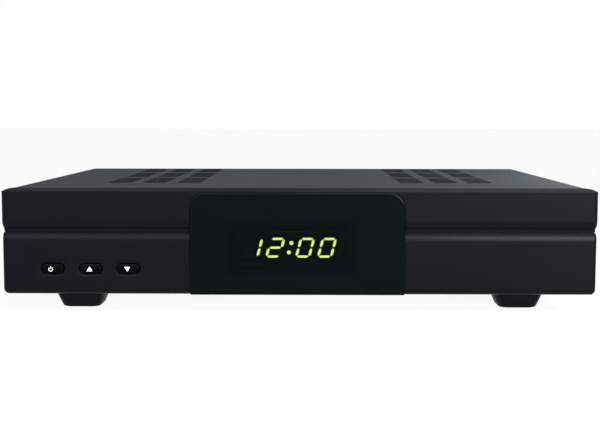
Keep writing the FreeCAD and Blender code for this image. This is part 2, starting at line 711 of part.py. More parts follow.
def groove_cutter():
    """The groove's section, an arc into a narrow floor and an arc out, carried round front and ends."""
    half = FASCIA_WIDTH / 2
    back = FASCIA_DEPTH + 1
    outside = -1.0

    def at(depth, drop):
        return Vector(-half + depth, back, TOP - drop)

    def bulge(y0, z0, y1, z1):
        """A point on the arc that leaves (y0, z0) upright and ends at (y1, z1)."""
        radius = ((y1 - y0) ** 2 + (z1 - z0) ** 2) / (2 * (y1 - y0))
        z = z0 + (z1 - z0) / 2
        return at(y0 + radius - math.sqrt(radius**2 - (z - z0) ** 2), z)

    step = LOWER_BAND_STEP
    into = Part.Arc(
        at(0, UPPER_BAND_HEIGHT),
        bulge(0, UPPER_BAND_HEIGHT, GROOVE_DEPTH, GROOVE_TOP),
        at(GROOVE_DEPTH, GROOVE_TOP),
    )
    out = Part.Arc(
        at(GROOVE_DEPTH, GROOVE_BOTTOM),
        bulge(step, LOWER_BAND_TOP, GROOVE_DEPTH, GROOVE_BOTTOM),
        at(step, LOWER_BAND_TOP),
    )
    floor = Part.makePolygon([at(GROOVE_DEPTH, GROOVE_TOP), at(GROOVE_DEPTH, GROOVE_BOTTOM)])
    mouth = Part.makePolygon(
        [
            at(step, LOWER_BAND_TOP),
            at(outside, LOWER_BAND_TOP),
            at(outside, UPPER_BAND_HEIGHT),
            at(0, UPPER_BAND_HEIGHT),
        ]
    )
    section = Part.Wire([into.toShape()] + floor.Edges + [out.toShape()] + mouth.Edges)
    corner = FASCIA_CORNER
    cut_off = corner * (1 - math.sqrt(0.5))
    z = TOP - UPPER_BAND_HEIGHT

    def on(x, y):
        return Vector(x, y, z)

    path = Part.Wire(
        [
            Part.LineSegment(on(-half, back), on(-half, corner)).toShape(),
            Part.Arc(on(-half, corner), on(-half + cut_off, cut_off), on(-half + corner, 0)).toShape(),
            Part.LineSegment(on(-half + corner, 0), on(half - corner, 0)).toShape(),
            Part.Arc(on(half - corner, 0), on(half - cut_off, cut_off), on(half, corner)).toShape(),
            Part.LineSegment(on(half, corner), on(half, back)).toShape(),
        ]
    )
    return path.makePipeShell([section], True, False)


def window_slab(grow, y0, y1):
    """The window's outline, grown all round, between two depths: round above, straight at the foot."""
    half = WINDOW_WIDTH / 2 + grow
    top = TOP - BEVEL_HEIGHT + grow
    slab = box(WINDOW_CENTRE - half, WINDOW_CENTRE + half, y0, y1, FLOOR_GAP, top)
    corners = edges_at(slab, Vector(0, 1, 0), lambda middle: middle.z > top - 1)
    return slab.makeFillet(WINDOW_CORNER + grow, corners)


def button_cutters():
    """Each button's hole."""
    cutters = []
    width = BUTTON_WIDTH + 2 * BUTTON_GAP
    height = BUTTON_HEIGHT + 2 * BUTTON_GAP
    for x in BUTTON_POSITIONS:
        cutters.append(obround(width, height, x, BUTTON_Z, -1, FASCIA_WALL + 1))
    return cutters


def front_fascia():
    """The moulded fascia: a hollow grooved bar with a window seat, holes, bosses, ribs and a skirt."""
    split = TOP - (GROOVE_TOP + GROOVE_BOTTOM) / 2
    stack = union([fascia_plan(0, split, TOP), fascia_plan(LOWER_BAND_STEP, FLOOR_GAP, split)])
    depth = FASCIA_DEPTH + 2
    bar = stack.common(prism(fascia_front_view(), (0, depth, 0)))
    bar = bar.common(prism(fascia_side_view(), (FASCIA_WIDTH + 2, 0, 0)))
    bar = bar.cut(groove_cutter())
    inner = FASCIA_WIDTH / 2 - FASCIA_WALL
    roof = SKIRT_TOP - SKIRT_WALL
    hollow = box(-inner, inner, FASCIA_WALL, FASCIA_DEPTH + 1, FLOOR_GAP + FASCIA_WALL, roof)
    tongue_half = COVER_WIDTH / 2 - BEND + SKIRT_GAP
    step = box(-tongue_half, tongue_half, BEVEL_DEPTH + RIDGE_WIDTH, FASCIA_DEPTH + 1, SKIRT_TOP, TOP + 1)
    bar = less(bar, [hollow, step])
    skirt_foot = TRAY_UNDER + TRAY_FLANGE + 1
    skirt = bent_channel(
        TRAY_HALF,
        SKIRT_WALL,
        SKIRT_WALL + 0.5,
        FASCIA_WALL,
        FASCIA_DEPTH + SKIRT_LENGTH,
        SKIRT_TOP,
        skirt_foot,
    )
    rib_places = [(a + b) / 2 for a, b in zip(BUTTON_POSITIONS, BUTTON_POSITIONS[1:])]
    first = WINDOW_CENTRE + WINDOW_WIDTH / 2 + RIB_WINDOW_GAP
    pitch = (FASCIA_WIDTH / 2 - RIB_END_GAP - first) / (RIB_COUNT - 1)
    rib_places += [first + k * pitch for k in range(RIB_COUNT)]
    thin = RIB_THICKNESS / 2
    ribs = [
        box(x - thin, x + thin, FASCIA_WALL, FASCIA_DEPTH, FLOOR_GAP + 1, roof + 1)
        for x in rib_places
    ]
    bosses = [
        sided_bar(BOSS_SIDES, BOSS_RADIUS, (x, FASCIA_WALL, z), (x, FRONT_BOARD_DEPTH, z))
        for x, z in FRONT_BOSSES
    ]
    for (x, _, z), _ in fascia_screw_seats():
        bosses.append(sided_bar(BOSS_SIDES, BOSS_RADIUS, (x, FASCIA_WALL, z), (x, TRAY_FRONT, z)))
    shell = union([bar, skirt] + ribs + bosses)
    seat_depth = WINDOW_THICKNESS - WINDOW_PROUD + WINDOW_GAP
    cutters = [window_slab(WINDOW_GAP, -2, seat_depth)]
    gap = DISPLAY_OPENING_GAP
    cutters.append(
        box(
            DISPLAY_CENTRE - DISPLAY_WIDTH / 2 - gap,
            DISPLAY_CENTRE + DISPLAY_WIDTH / 2 + gap,
            0,
            FASCIA_WALL + 1,
            DISPLAY_Z - DISPLAY_HEIGHT / 2 - gap,
            DISPLAY_Z + DISPLAY_HEIGHT / 2 + gap,
        )
    )
    half = RECEIVER_HOLE / 2
    cutters.append(
        box(
            RECEIVER_POSITION - half,
            RECEIVER_POSITION + half,
            0,
            FASCIA_WALL + 1,
            DISPLAY_Z - half,
            DISPLAY_Z + half,
        )
    )
    cutters += button_cutters()
    board_back = FRONT_BOARD_DEPTH + BOARD
    for x, z in FRONT_BOSSES:
        cutters.append(shank_hole(SCREW_GAP, (x, board_back - BOARD_SCREW_LENGTH, z), (x, board_back, z)))
    cutters += screw_holes(fascia_screw_seats(), SCREW_GAP, FASCIA_SCREW_LENGTH)
    return less(shell, cutters)


def display_window():
    """The dark window, with its front edges chamfered."""
    slab = window_slab(0, -WINDOW_PROUD, WINDOW_THICKNESS - WINDOW_PROUD)
    front = [edge for edge in slab.Edges if abs(edge.BoundBox.YMax + WINDOW_PROUD) < 1e-3]
    return slab.makeChamfer(WINDOW_EDGE, front)


# Buttons and their switches


def button_cap(x):
    """One cap: a crowned obround face, a flange that keeps it in and a pin that reaches the switch."""
    front = -BUTTON_PROUD
    flange_front = FASCIA_WALL + BUTTON_SEAT_GAP
    flange_back = flange_front + BUTTON_FLANGE
    face = obround(BUTTON_WIDTH, BUTTON_HEIGHT, x, BUTTON_Z, front, flange_front)
    crown = rod(
        BUTTON_CROWN,
        (x - BUTTON_WIDTH, front + BUTTON_CROWN, BUTTON_Z),
        (x + BUTTON_WIDTH, front + BUTTON_CROWN, BUTTON_Z),
    )
    half = BUTTON_WIDTH / 2 + BUTTON_GAP + BUTTON_RIM
    tall = BUTTON_HEIGHT / 2 + BUTTON_GAP + BUTTON_RIM
    flange = box(x - half, x + half, flange_front, flange_back, BUTTON_Z - tall, BUTTON_Z + tall)
    pin = switch_bar(x, 0, flange_back, SWITCH_FRONT - SWITCH_STEM_PROUD)
    return union([face.common(crown), flange, pin])


def switch_bar(x, grow, y0, y1):
    """A square bar on a button's axis, grown all round."""
    half = SWITCH_STEM_SIDE / 2 + grow
    return box(x - half, x + half, y0, y1, BUTTON_Z - half, BUTTON_Z + half)


def switch_stem(x):
    """The switch's moving stem, from the cap's pin into the switch."""
    return switch_bar(x, 0, SWITCH_FRONT - SWITCH_STEM_PROUD, SWITCH_FRONT + SWITCH_STEM_HIDDEN)


def switch_body(x):
    """The switch's square body, with a square well for its stem."""
    half = SWITCH_SIDE / 2
    body = box(x - half, x + half, SWITCH_FRONT, FRONT_BOARD_DEPTH, BUTTON_Z - half, BUTTON_Z + half)
    well = SWITCH_STEM_HIDDEN + BUTTON_TRAVEL + SWITCH_WELL_SPARE
    return body.cut(switch_bar(x, SWITCH_WELL_GAP, SWITCH_FRONT - 1, SWITCH_FRONT + well))


# Clock display

DIGIT_BARS = {
    "a": ((0, 1), (1, 1)),
    "b": ((1, 1), (1, 0)),
    "c": ((1, 0), (1, -1)),
    "d": ((0, -1), (1, -1)),
    "e": ((0, 0), (0, -1)),
    "f": ((0, 1), (0, 0)),
    "g": ((0, 0), (1, 0)),
}
LIT_BARS = {"0": "abcdef", "1": "bc", "2": "abged"}


def slanted(centre, across, up):
    """A point of a digit: across and up run from its middle, and the top leans to the right."""
    lean = math.tan(math.radians(DIGIT_SLANT))
    return (centre + across + up * lean, DISPLAY_Z + up)


def display_bar(centre, bar):
    """One bar of a digit: a thin six-sided tile, pointed at both ends."""
    (i0, j0), (i1, j1) = DIGIT_BARS[bar]
    across = [(i - 0.5) * DIGIT_WIDTH for i in (i0, i1)]
    up = [j * DIGIT_HEIGHT / 2 for j in (j0, j1)]
    length = math.hypot(across[1] - across[0], up[1] - up[0])
    way = ((across[1] - across[0]) / length, (up[1] - up[0]) / length)
    half = BAR_WIDTH / 2
    tail = length - BAR_GAP
    stations = [(BAR_GAP, 0), (BAR_GAP + half, half), (tail - half, half), (tail, 0)]
    stations += [(tail - half, -half), (BAR_GAP + half, -half)]
    corners = []
    for along, aside in stations:
        corners.append(
            slanted(
                centre,
                across[0] + way[0] * along - way[1] * aside,
                up[0] + way[1] * along + way[0] * aside,
            )
        )
    return prism(upright_outline(corners, DISPLAY_FRONT - BAR_THICKNESS), (0, BAR_THICKNESS, 0))


def display_bars(lit):
    """All the lit bars and the colon, or all the others."""
    bars = []
    for k, digit in enumerate(SHOWN_TIME):
        centre = DISPLAY_CENTRE + (k - 1.5) * DIGIT_PITCH + math.copysign(COLON_SPACE / 2, k - 1.5)
        bars += [display_bar(centre, bar) for bar in DIGIT_BARS if (bar in LIT_BARS[digit]) == lit]
    if lit:
        for side in (-1, 1):
            x, z = slanted(DISPLAY_CENTRE, 0, side * COLON_DOT_SPACING / 2)
            front = (x, DISPLAY_FRONT - BAR_THICKNESS, z)
            bars.append(sided_bar(COLON_DOT_SIDES, COLON_DOT_RADIUS, front, (x, DISPLAY_FRONT, z)))
    return bars


def display_module():
    """The display's block, seated on the front board."""
    half = DISPLAY_WIDTH / 2
    low = DISPLAY_Z - DISPLAY_HEIGHT / 2
    return box(
        DISPLAY_CENTRE - half,
        DISPLAY_CENTRE + half,
        DISPLAY_FRONT,
        FRONT_BOARD_DEPTH,
        low,
        low + DISPLAY_HEIGHT,
    )


def infrared_receiver():
    """The remote control's receiver: a small block with a half-round lens."""
    x = RECEIVER_POSITION
    low = DISPLAY_Z - RECEIVER_HEIGHT / 2
    front = FRONT_BOARD_DEPTH - RECEIVER_DEPTH
    half = RECEIVER_WIDTH / 2
    block = box(x - half, x + half, front, FRONT_BOARD_DEPTH, low, low + RECEIVER_HEIGHT)
    lens = rod(RECEIVER_LENS_RADIUS, (x, front, low + 1), (x, front, low + RECEIVER_HEIGHT - 1))
    return union([block, lens])


def front_board():
    """The board behind the fascia, on four bosses."""
    back = FRONT_BOARD_DEPTH + BOARD
    plate = box(FRONT_LEFT, FRONT_RIGHT, FRONT_BOARD_DEPTH, back, FRONT_LOW, FRONT_HIGH)
    holes = [
        shank_hole(SCREW_PASS, (x, FRONT_BOARD_DEPTH - 1, z), (x, back + 1, z)) for x, z in FRONT_BOSSES
    ]
    return less(plate, holes)


# Boards on the tray


def on_board(x, y, width, length, height):
    """A block that stands on a board round the point (x, y)."""
    left = x - width / 2
    front = y - length / 2
    return box(left, left + width, front, front + length, BOARD_TOP, BOARD_TOP + height)


def on_power_board(across, forwards):
    """The point that lies so far from the power board's inner edge and from its back edge."""
    return POWER_LEFT + across, BOARD_BACK - forwards


def post(x, y):
    """A hexagonal post between the tray and a board, bored for a screw."""
    outer = sided_bar(HEX_SIDES, POST_RADIUS, (x, y, TRAY_FLOOR), (x, y, BOARD_UNDER))
    return outer.cut(shank_hole(SCREW_GAP, (x, y, TRAY_FLOOR - 1), (x, y, BOARD_UNDER + 1)))


def tray_board(left, right, front, posts):
    """A circuit board that lies on its posts."""
    plate = box(left, right, front, BOARD_BACK, BOARD_UNDER, BOARD_TOP)
    holes = [shank_hole(SCREW_PASS, (x, y, BOARD_UNDER - 1), (x, y, BOARD_TOP + 1)) for x, y in posts]
    return less(plate, holes)


def board_screws():
    """The screws of the main, power and front boards."""
    screws = [
        screw((x, y, BOARD_TOP), (0, 0, -1), BOARD_SCREW_LENGTH) for x, y in MAIN_POSTS + POWER_POSTS
    ]
    back = FRONT_BOARD_DEPTH + BOARD
    screws += [screw((x, back, z), (0, -1, 0), BOARD_SCREW_LENGTH) for x, z in FRONT_BOSSES]
    return screws


def insulating_sheet():
    """The sheet that lies on the tray under the power board, cut out round posts and a foot's screw."""
    margin = INSULATOR_MARGIN
    front = POWER_FRONT - margin
    back = PANEL_FACE - PANEL_FLANGE - margin
    top = TRAY_FLOOR + INSULATOR_THICKNESS
    sheet = box(POWER_LEFT - margin, POWER_RIGHT + margin, front, back, TRAY_FLOOR, top)
    holes = [
        sided_bar(HEX_SIDES, POST_RADIUS + SCREW_PASS, (x, y, TRAY_FLOOR - 1), (x, y, top + 1))
        for x, y in POWER_POSTS
    ]
    holes += [
        shank_hole(SCREW_PASS, (x, y, TRAY_FLOOR - 1), (x, y, top + 1))
        for x, y in FOOT_POSITIONS
        if x > POWER_LEFT and y > POWER_FRONT
    ]
    return less(sheet, holes)


def small_capacitors():
    """The small upright capacitors of both boards."""
    places = [(MAIN_MIDDLE + across, y) for across, y in MAIN_CAPACITORS]
    places += [on_power_board(*place) for place in POWER_CAPACITORS]
    top = BOARD_TOP + CAPACITOR_HEIGHT
    return [sided_bar(CAN_SIDES, CAPACITOR_RADIUS, (x, y, BOARD_TOP), (x, y, top)) for x, y in places]


def flat_strip(points, radius, thickness, across):
    """A flat cable: straight runs joined by square turns, as wide as the vector across.

    points are the corners of its route; every turn has the given radius.
    """
    corners = [Vector(*point) for point in points]
    edges = []
    start = corners[0]
    for before, corner, after in zip(corners, corners[1:], corners[2:]):
        way_in = (corner - before).normalize()
        way_out = (after - corner).normalize()
        turn_in = corner - way_in * radius
        turn_out = corner + way_out * radius
        centre = turn_in + way_out * radius
        middle = centre + (corner - centre).normalize() * radius
        edges.append(Part.LineSegment(start, turn_in).toShape())
        edges.append(Part.Arc(turn_in, middle, turn_out).toShape())
        start = turn_out
    edges.append(Part.LineSegment(start, corners[-1]).toShape())
    spine = Part.Wire(edges)
    side = Vector(*across)
    way = (corners[1] - corners[0]).normalize()
    over = way.cross(Vector(side).normalize()) * (thickness / 2)
    begin = corners[0] - side / 2
    section = Part.makePolygon(
        [begin - over, begin + side - over, begin + side + over, begin + over, begin - over]
    )
    return spine.makePipeShell([section], True, False)


def front_ribbon():
    """The ribbon from the back of the front board down to the main board's front edge."""
    route = (
        (RIBBON_X, FRONT_BOARD_DEPTH + BOARD, RIBBON_LAND),
        (RIBBON_X, RIBBON_Y, RIBBON_LAND),
        (RIBBON_X, RIBBON_Y, BOARD_TOP),
    )
    return flat_strip(route, RIBBON_RADIUS, RIBBON_THICKNESS, (RIBBON_WIDTH, 0, 0))


def plug_places():
    """The middle of each of the harness's plugs, in front of the power heat sink."""
    _, forwards, length, _ = POWER_SINK
    y = BOARD_BACK - forwards - length / 2 - HARNESS_SINK_GAP - PLUG_SIZE[1] / 2
    return [(MAIN_RIGHT - HARNESS_INSET, y), (POWER_LEFT + HARNESS_INSET, y)]


def power_harness():
    """The flat harness that bridges from the power board to the main board, plug to plug."""
    plug_top = BOARD_TOP + PLUG_SIZE[2]
    high = plug_top + HARNESS_RISE + HARNESS_RADIUS
    (left, y), (right, _) = plug_places()
    route = ((left, y, plug_top), (left, y, high), (right, y, high), (right, y, plug_top))
    return flat_strip(route, HARNESS_RADIUS, HARNESS_THICKNESS, (0, HARNESS_WIDTH, 0))


def harness_plugs():
    """The plug at each end of the harness."""
    return [on_board(x, y, *PLUG_SIZE) for x, y in plug_places()]


# Sockets in the rear panel


def tuner_can():
    """The tuner's screening can."""
    back = PANEL_FACE - TUNER_SETBACK
    low = BOARD_TOP
    return box(MAIN_LEFT, MAIN_LEFT + TUNER_WIDTH, back - TUNER_LENGTH, back, low, low + TUNER_HEIGHT)


def antenna_shoulder(x, grow, y0, y1):
    """The thick part of an antenna socket, grown all round, between two depths."""
    z = BOARD_TOP + ANTENNA_HEIGHT
    return sided_bar(BARREL_SIDES, ANTENNA_SHOULDER_RADIUS + grow, (x, y0, z), (x, y1, z))


def antenna_socket(x):
    """An antenna socket: a hexagonal collar on the tuner, a shoulder through the panel, a bored barrel."""
    z = BOARD_TOP + ANTENNA_HEIGHT
    start = PANEL_FACE - TUNER_SETBACK
    tip = CASE_DEPTH + ANTENNA_REACH
    collar = sided_bar(HEX_SIDES, ANTENNA_COLLAR_FLATS / 2, (x, start, z), (x, SOCKET_FACE, z))
    shoulder = antenna_shoulder(x, 0, SOCKET_FACE, CASE_DEPTH)
    barrel = rod(ANTENNA_RADIUS, (x, CASE_DEPTH, z), (x, tip, z))
    bore = sided_bar(HEX_SIDES, ANTENNA_BORE_RADIUS, (x, tip - ANTENNA_BORE_DEPTH, z), (x, tip + 1, z))
    return union([collar, shoulder, barrel]).cut(bore)


def phono_face(grow, y0, y1):
    """The outline of the phono block, grown all round, between two depths."""
    return box(
        PHONO_LEFT - grow,
        PHONO_LEFT + PHONO_WIDTH + grow,
        y0,
        y1,
        BOARD_TOP - grow,
        BOARD_TOP + 2 * PHONO_HEIGHT + grow,
    )


def phono_block():
    """The block that carries the phono sockets; its face shows through the panel."""
    face = PANEL_FACE + PHONO_PROUD
    return phono_face(0, face - PHONO_BLOCK_DEPTH, face)


def phono_barrel(x):
    """One phono socket's barrel, bored for the plug's pin."""
    z = BOARD_TOP + PHONO_HEIGHT
    face = PANEL_FACE + PHONO_PROUD
    tip = face + PHONO_REACH
    barrel = sided_bar(BARREL_SIDES, PHONO_RADIUS, (x, face, z), (x, tip, z))
    floor = (x, tip - PHONO_BORE_DEPTH, z)
    return barrel.cut(sided_bar(HEX_SIDES, PHONO_BORE_RADIUS, floor, (x, tip + 1, z)))


def television_block(grow, y0, y1):
    """The outline of the two stacked television sockets, grown all round, between two depths."""
    return box(
        TELEVISION_LEFT - grow,
        TELEVISION_LEFT + TELEVISION_WIDTH + grow,
        y0,
        y1,
        BOARD_TOP - grow,
        BOARD_TOP + 2 * TELEVISION_PITCH + grow,
    )


def television_ring(level):
    """The ring-shaped gap round one socket's contacts, which the plug's shell goes into."""
    width, height = TELEVISION_SHELL
    z = BOARD_TOP + (level + 0.5) * TELEVISION_PITCH
    face = PANEL_FACE + TELEVISION_PROUD
    floor = face - TELEVISION_RING_DEPTH
    half = width / 2
    tall = height / 2
    corners = [
        (-half, -tall),
        (half - TELEVISION_KEY, -tall),
        (half, -tall + TELEVISION_KEY),
        (half, tall),
        (-half, tall),
    ]
    outline = upright_outline([(TELEVISION_CENTRE + x, z + up) for x, up in corners], floor)
    island = outline.makeOffset2D(-TELEVISION_RING, 2)
    depth = (0, TELEVISION_RING_DEPTH + 1, 0)
    return prism(outline, depth).cut(prism(island, depth))


def television_sockets():
    """Two stacked television sockets in one block, flush through the panel."""
    face = PANEL_FACE + TELEVISION_PROUD
    block = television_block(0, face - TELEVISION_DEPTH, face)
    return less(block, [television_ring(level) for level in (0, 1)])


def serial_shell(grow, y0, y1):
    """The serial socket's five-sided shell between two depths."""
    width, height = SERIAL_SHELL
    half = width / 2 + grow
    tall = height / 2 + grow
    z = BOARD_TOP + SERIAL_HEIGHT
    corners = [
        (SERIAL_CENTRE - half, z + tall),
        (SERIAL_CENTRE + half, z + tall),
        (SERIAL_CENTRE + half - SERIAL_RAKE, z - tall),
        (SERIAL_CENTRE - half + SERIAL_RAKE, z - tall),
    ]
    shell = prism(upright_outline(corners, y0), (0, y1 - y0, 0))
    long_edges = edges_at(shell, Vector(0, 1, 0), lambda middle: True)
    return shell.makeChamfer(SERIAL_CHAMFER, long_edges)


def serial_socket():
    """The serial socket: its body behind the panel and its shell through it."""
    width, height, depth = SERIAL_BODY
    z = BOARD_TOP + SERIAL_HEIGHT
    body = box(
        SERIAL_CENTRE - width / 2,
        SERIAL_CENTRE + width / 2,
        SOCKET_FACE - depth,
        SOCKET_FACE,
        BOARD_TOP,
        z + height / 2,
    )
    holes = [
        shank_hole(SCREW_GAP, (x, SOCKET_FACE - depth, level), (x, SOCKET_FACE + 1, level))
        for x, level in serial_post_places()
    ]
    return less(union([body, serial_shell(0, SOCKET_FACE, PANEL_FACE + SERIAL_REACH)]), holes)


def serial_post_places():
    """The middles of the serial socket's two jack posts, as (x, z)."""
    z = BOARD_TOP + SERIAL_HEIGHT
    return [(SERIAL_CENTRE + side * SERIAL_POST_SPACING / 2, z) for side in (-1, 1)]


def serial_jack_post(x, z):
    """A hexagonal jack post outside the panel, with its thread in the socket's body."""
    tip = PANEL_FACE + SERIAL_POST_LENGTH
    hexagon = sided_bar(HEX_SIDES, SERIAL_POST_FLATS / 2, (x, PANEL_FACE, z), (x, tip, z))
    thread = shank_hole(0, (x, SOCKET_FACE - SERIAL_POST_LENGTH, z), (x, PANEL_FACE, z))
    return union([hexagon, thread])


def inlet_block(grow, y0, y1):
    """The mains inlet's outline, grown all round, between two depths."""
    width, height, _ = INLET_BODY
    return box(
        INLET_CENTRE - width / 2 - grow,
        INLET_CENTRE + width / 2 + grow,
        y0,
        y1,
        BOARD_TOP - grow,
        BOARD_TOP + height + grow,
    )


def mains_inlet():
    """The mains inlet: a block with a deep obround recess."""
    face = PANEL_FACE + INLET_PROUD
    block = inlet_block(0, face - INLET_BODY[2], face)
    width, height = INLET_OPENING
    z = BOARD_TOP + INLET_HEIGHT
    recess = obround(width, height, INLET_CENTRE, z, face - INLET_RECESS, face + 1)
    return block.cut(recess)


def mains_pin(side):
    """One of the inlet's two pins, standing on the floor of the recess."""
    x = INLET_CENTRE + side * INLET_PIN_SPACING / 2
    z = BOARD_TOP + INLET_HEIGHT
    floor = PANEL_FACE + INLET_PROUD - INLET_RECESS
    return sided_bar(CAN_SIDES, INLET_PIN_RADIUS, (x, floor, z), (x, floor + INLET_PIN_LENGTH, z))


# Parts on the main board


def processor_chip():
    """The processor's flat package."""
    across, y, side, height = PROCESSOR
    return on_board(MAIN_MIDDLE + across, y, side, side, height)


def processor_heat_sink():
    """The finned heat sink on the processor."""
    across, y, side, height = PROCESSOR
    x = MAIN_MIDDLE + across
    half = side / 2 - HEAT_SINK_INSET
    low = BOARD_TOP + height
    top = low + HEAT_SINK_HEIGHT
    pitch = (2 * half - FIN_THICKNESS) / (HEAT_SINK_FINS - 1)
    pieces = [box(x - half, x + half, y - half, y + half, low, low + HEAT_SINK_BASE)]
    for k in range(HEAT_SINK_FINS):
        start = x - half + k * pitch
        pieces.append(box(start, start + FIN_THICKNESS, y - half, y + half, low, top))
    return union(pieces)


def memory_chips():
    """The memory chips' flat packages."""
    return [on_board(MAIN_MIDDLE + across, y, *MEMORY_SIZE) for across, y in MEMORY_POSITIONS]


# Parts on the power board


def bulk_capacitor():
    """The tall mains capacitor."""
    across, forwards, radius, height = BULK_CAPACITOR
    x, y = on_power_board(across, forwards)
    return sided_bar(CAN_SIDES, radius, (x, y, BOARD_TOP), (x, y, BOARD_TOP + height))


def window_core(x, y, size, leg, middle_leg):
    """A ferrite core: an upright block with two windows, or one window where it has no middle leg."""
    width, depth, height = size
    block = on_board(x, y, width, depth, height)
    opening = box(
        x - width / 2 + leg,
        x + width / 2 - leg,
        y - depth / 2 - 1,
        y + depth / 2 + 1,
        BOARD_TOP + leg,
        BOARD_TOP + height - leg,
    )
    if middle_leg:
        half = middle_leg / 2
        opening = opening.cut(box(x - half, x + half, y - depth, y + depth, BOARD_TOP, BOARD_TOP + height))
    return block.cut(opening)


def coil(x, y, width, depth, hole_width, hole_depth, leg, height):
    """A winding with chamfered corners, wound on a square leg between the core's upper and lower bars."""
    z0 = BOARD_TOP + leg + WINDING_GAP
    z1 = BOARD_TOP + height - leg - WINDING_GAP
    block = box(x - width / 2, x + width / 2, y - depth / 2, y + depth / 2, z0, z1)
    block = block.makeChamfer(WINDING_CHAMFER, edges_at(block, Vector(0, 0, 1), lambda middle: True))
    return block.cut(
        box(x - hole_width / 2, x + hole_width / 2, y - hole_depth / 2, y + hole_depth / 2, z0 - 1, z1 + 1)
    )


def transformer_core():
    """The transformer's core."""
    return window_core(*on_power_board(*TRANSFORMER), CORE_SIZE, CORE_LEG, CORE_MIDDLE_LEG)


def transformer_winding():
    """The transformer's winding, on the middle leg."""
    width = CORE_SIZE[0] - 2 * CORE_LEG - 2 * WINDING_GAP
    hole = CORE_MIDDLE_LEG + 2 * WINDING_GAP
    hole_depth = CORE_SIZE[1] + 2 * WINDING_GAP
    x, y = on_power_board(*TRANSFORMER)
    return coil(x, y, width, WINDING_DEPTH, hole, hole_depth, CORE_LEG, CORE_SIZE[2])


def line_choke_core():
    """The line filter's core."""
    return window_core(*on_power_board(*CHOKE), CHOKE_SIZE, CHOKE_LEG, 0)


def line_choke_windings():
    """The line filter's two windings, one on each upright leg."""
    middle, y = on_power_board(*CHOKE)
    offset = CHOKE_SIZE[0] / 2 - CHOKE_LEG / 2
    width = 2 * (offset - WINDING_GAP)
    depth = CHOKE_WINDING_DEPTH
    hole = CHOKE_LEG + 2 * WINDING_GAP
    hole_depth = CHOKE_SIZE[1] + 2 * WINDING_GAP
    places = [middle - offset, middle + offset]
    return [coil(x, y, width, depth, hole, hole_depth, CHOKE_LEG, CHOKE_SIZE[2]) for x in places]


def mains_fuse():
    """The fuse's block, with its upright edges chamfered."""
    across, forwards, width, length, height = FUSE
    block = on_board(*on_power_board(across, forwards), width, length, height)
    return block.makeChamfer(FUSE_CHAMFER, edges_at(block, Vector(0, 0, 1), lambda middle: True))


def power_heat_sink():
    """The power board's upright heat sink: a plate with fins on the side away from the transistor."""
    across, forwards, length, height = POWER_SINK
    x, y = on_power_board(across, forwards)
    top = BOARD_TOP + height
    tips = x + POWER_SINK_BASE + POWER_SINK_FIN
    pitch = (length - FIN_THICKNESS) / (HEAT_SINK_FINS - 1)
    pieces = [box(x, x + POWER_SINK_BASE, y - length / 2, y + length / 2, BOARD_TOP, top)]
    for k in range(HEAT_SINK_FINS):
        start = y - length / 2 + k * pitch
        pieces.append(box(x, tips, start, start + FIN_THICKNESS, BOARD_TOP, top))
    return union(pieces)


def switching_transistor():
    """The transistor clamped flat against the power heat sink."""
    x, y = on_power_board(*POWER_SINK[:2])
    depth, width, height = TRANSISTOR_SIZE
    return box(x - depth, x, y - width / 2, y + width / 2, BOARD_TOP, BOARD_TOP + height)


# Feet


def foot(x, y):
    """A moulded foot that tapers towards the floor, counterbored for its screw."""
    edge_side = FOOT_BOTTOM + (FOOT_TOP - FOOT_BOTTOM) * FOOT_EDGE / TRAY_UNDER
    rings = [
        eased_square(FOOT_TOP, FOOT_EASE, x, y, TRAY_UNDER),
        eased_square(edge_side, FOOT_EASE, x, y, FOOT_EDGE),
        eased_square(FOOT_BOTTOM - FOOT_EDGE, FOOT_EASE, x, y, 0),
    ]
    body = Part.makeLoft(rings, True, True)
    seat = TRAY_UNDER - FOOT_WEB
    counterbore = sided_bar(CAN_SIDES, FOOT_BORE_RADIUS, (x, y, -1), (x, y, seat))
    hole = shank_hole(SCREW_PASS, (x, y, 0), (x, y, TRAY_UNDER + 1))
    return less(body, [counterbore, hole])


def foot_screw(x, y):
    """The screw up through a foot into the tray."""
    seat = TRAY_UNDER - FOOT_WEB
    return screw((x, y, seat), (0, 0, 1), FOOT_WEB + SHEET + FOOT_SCREW_PAST)


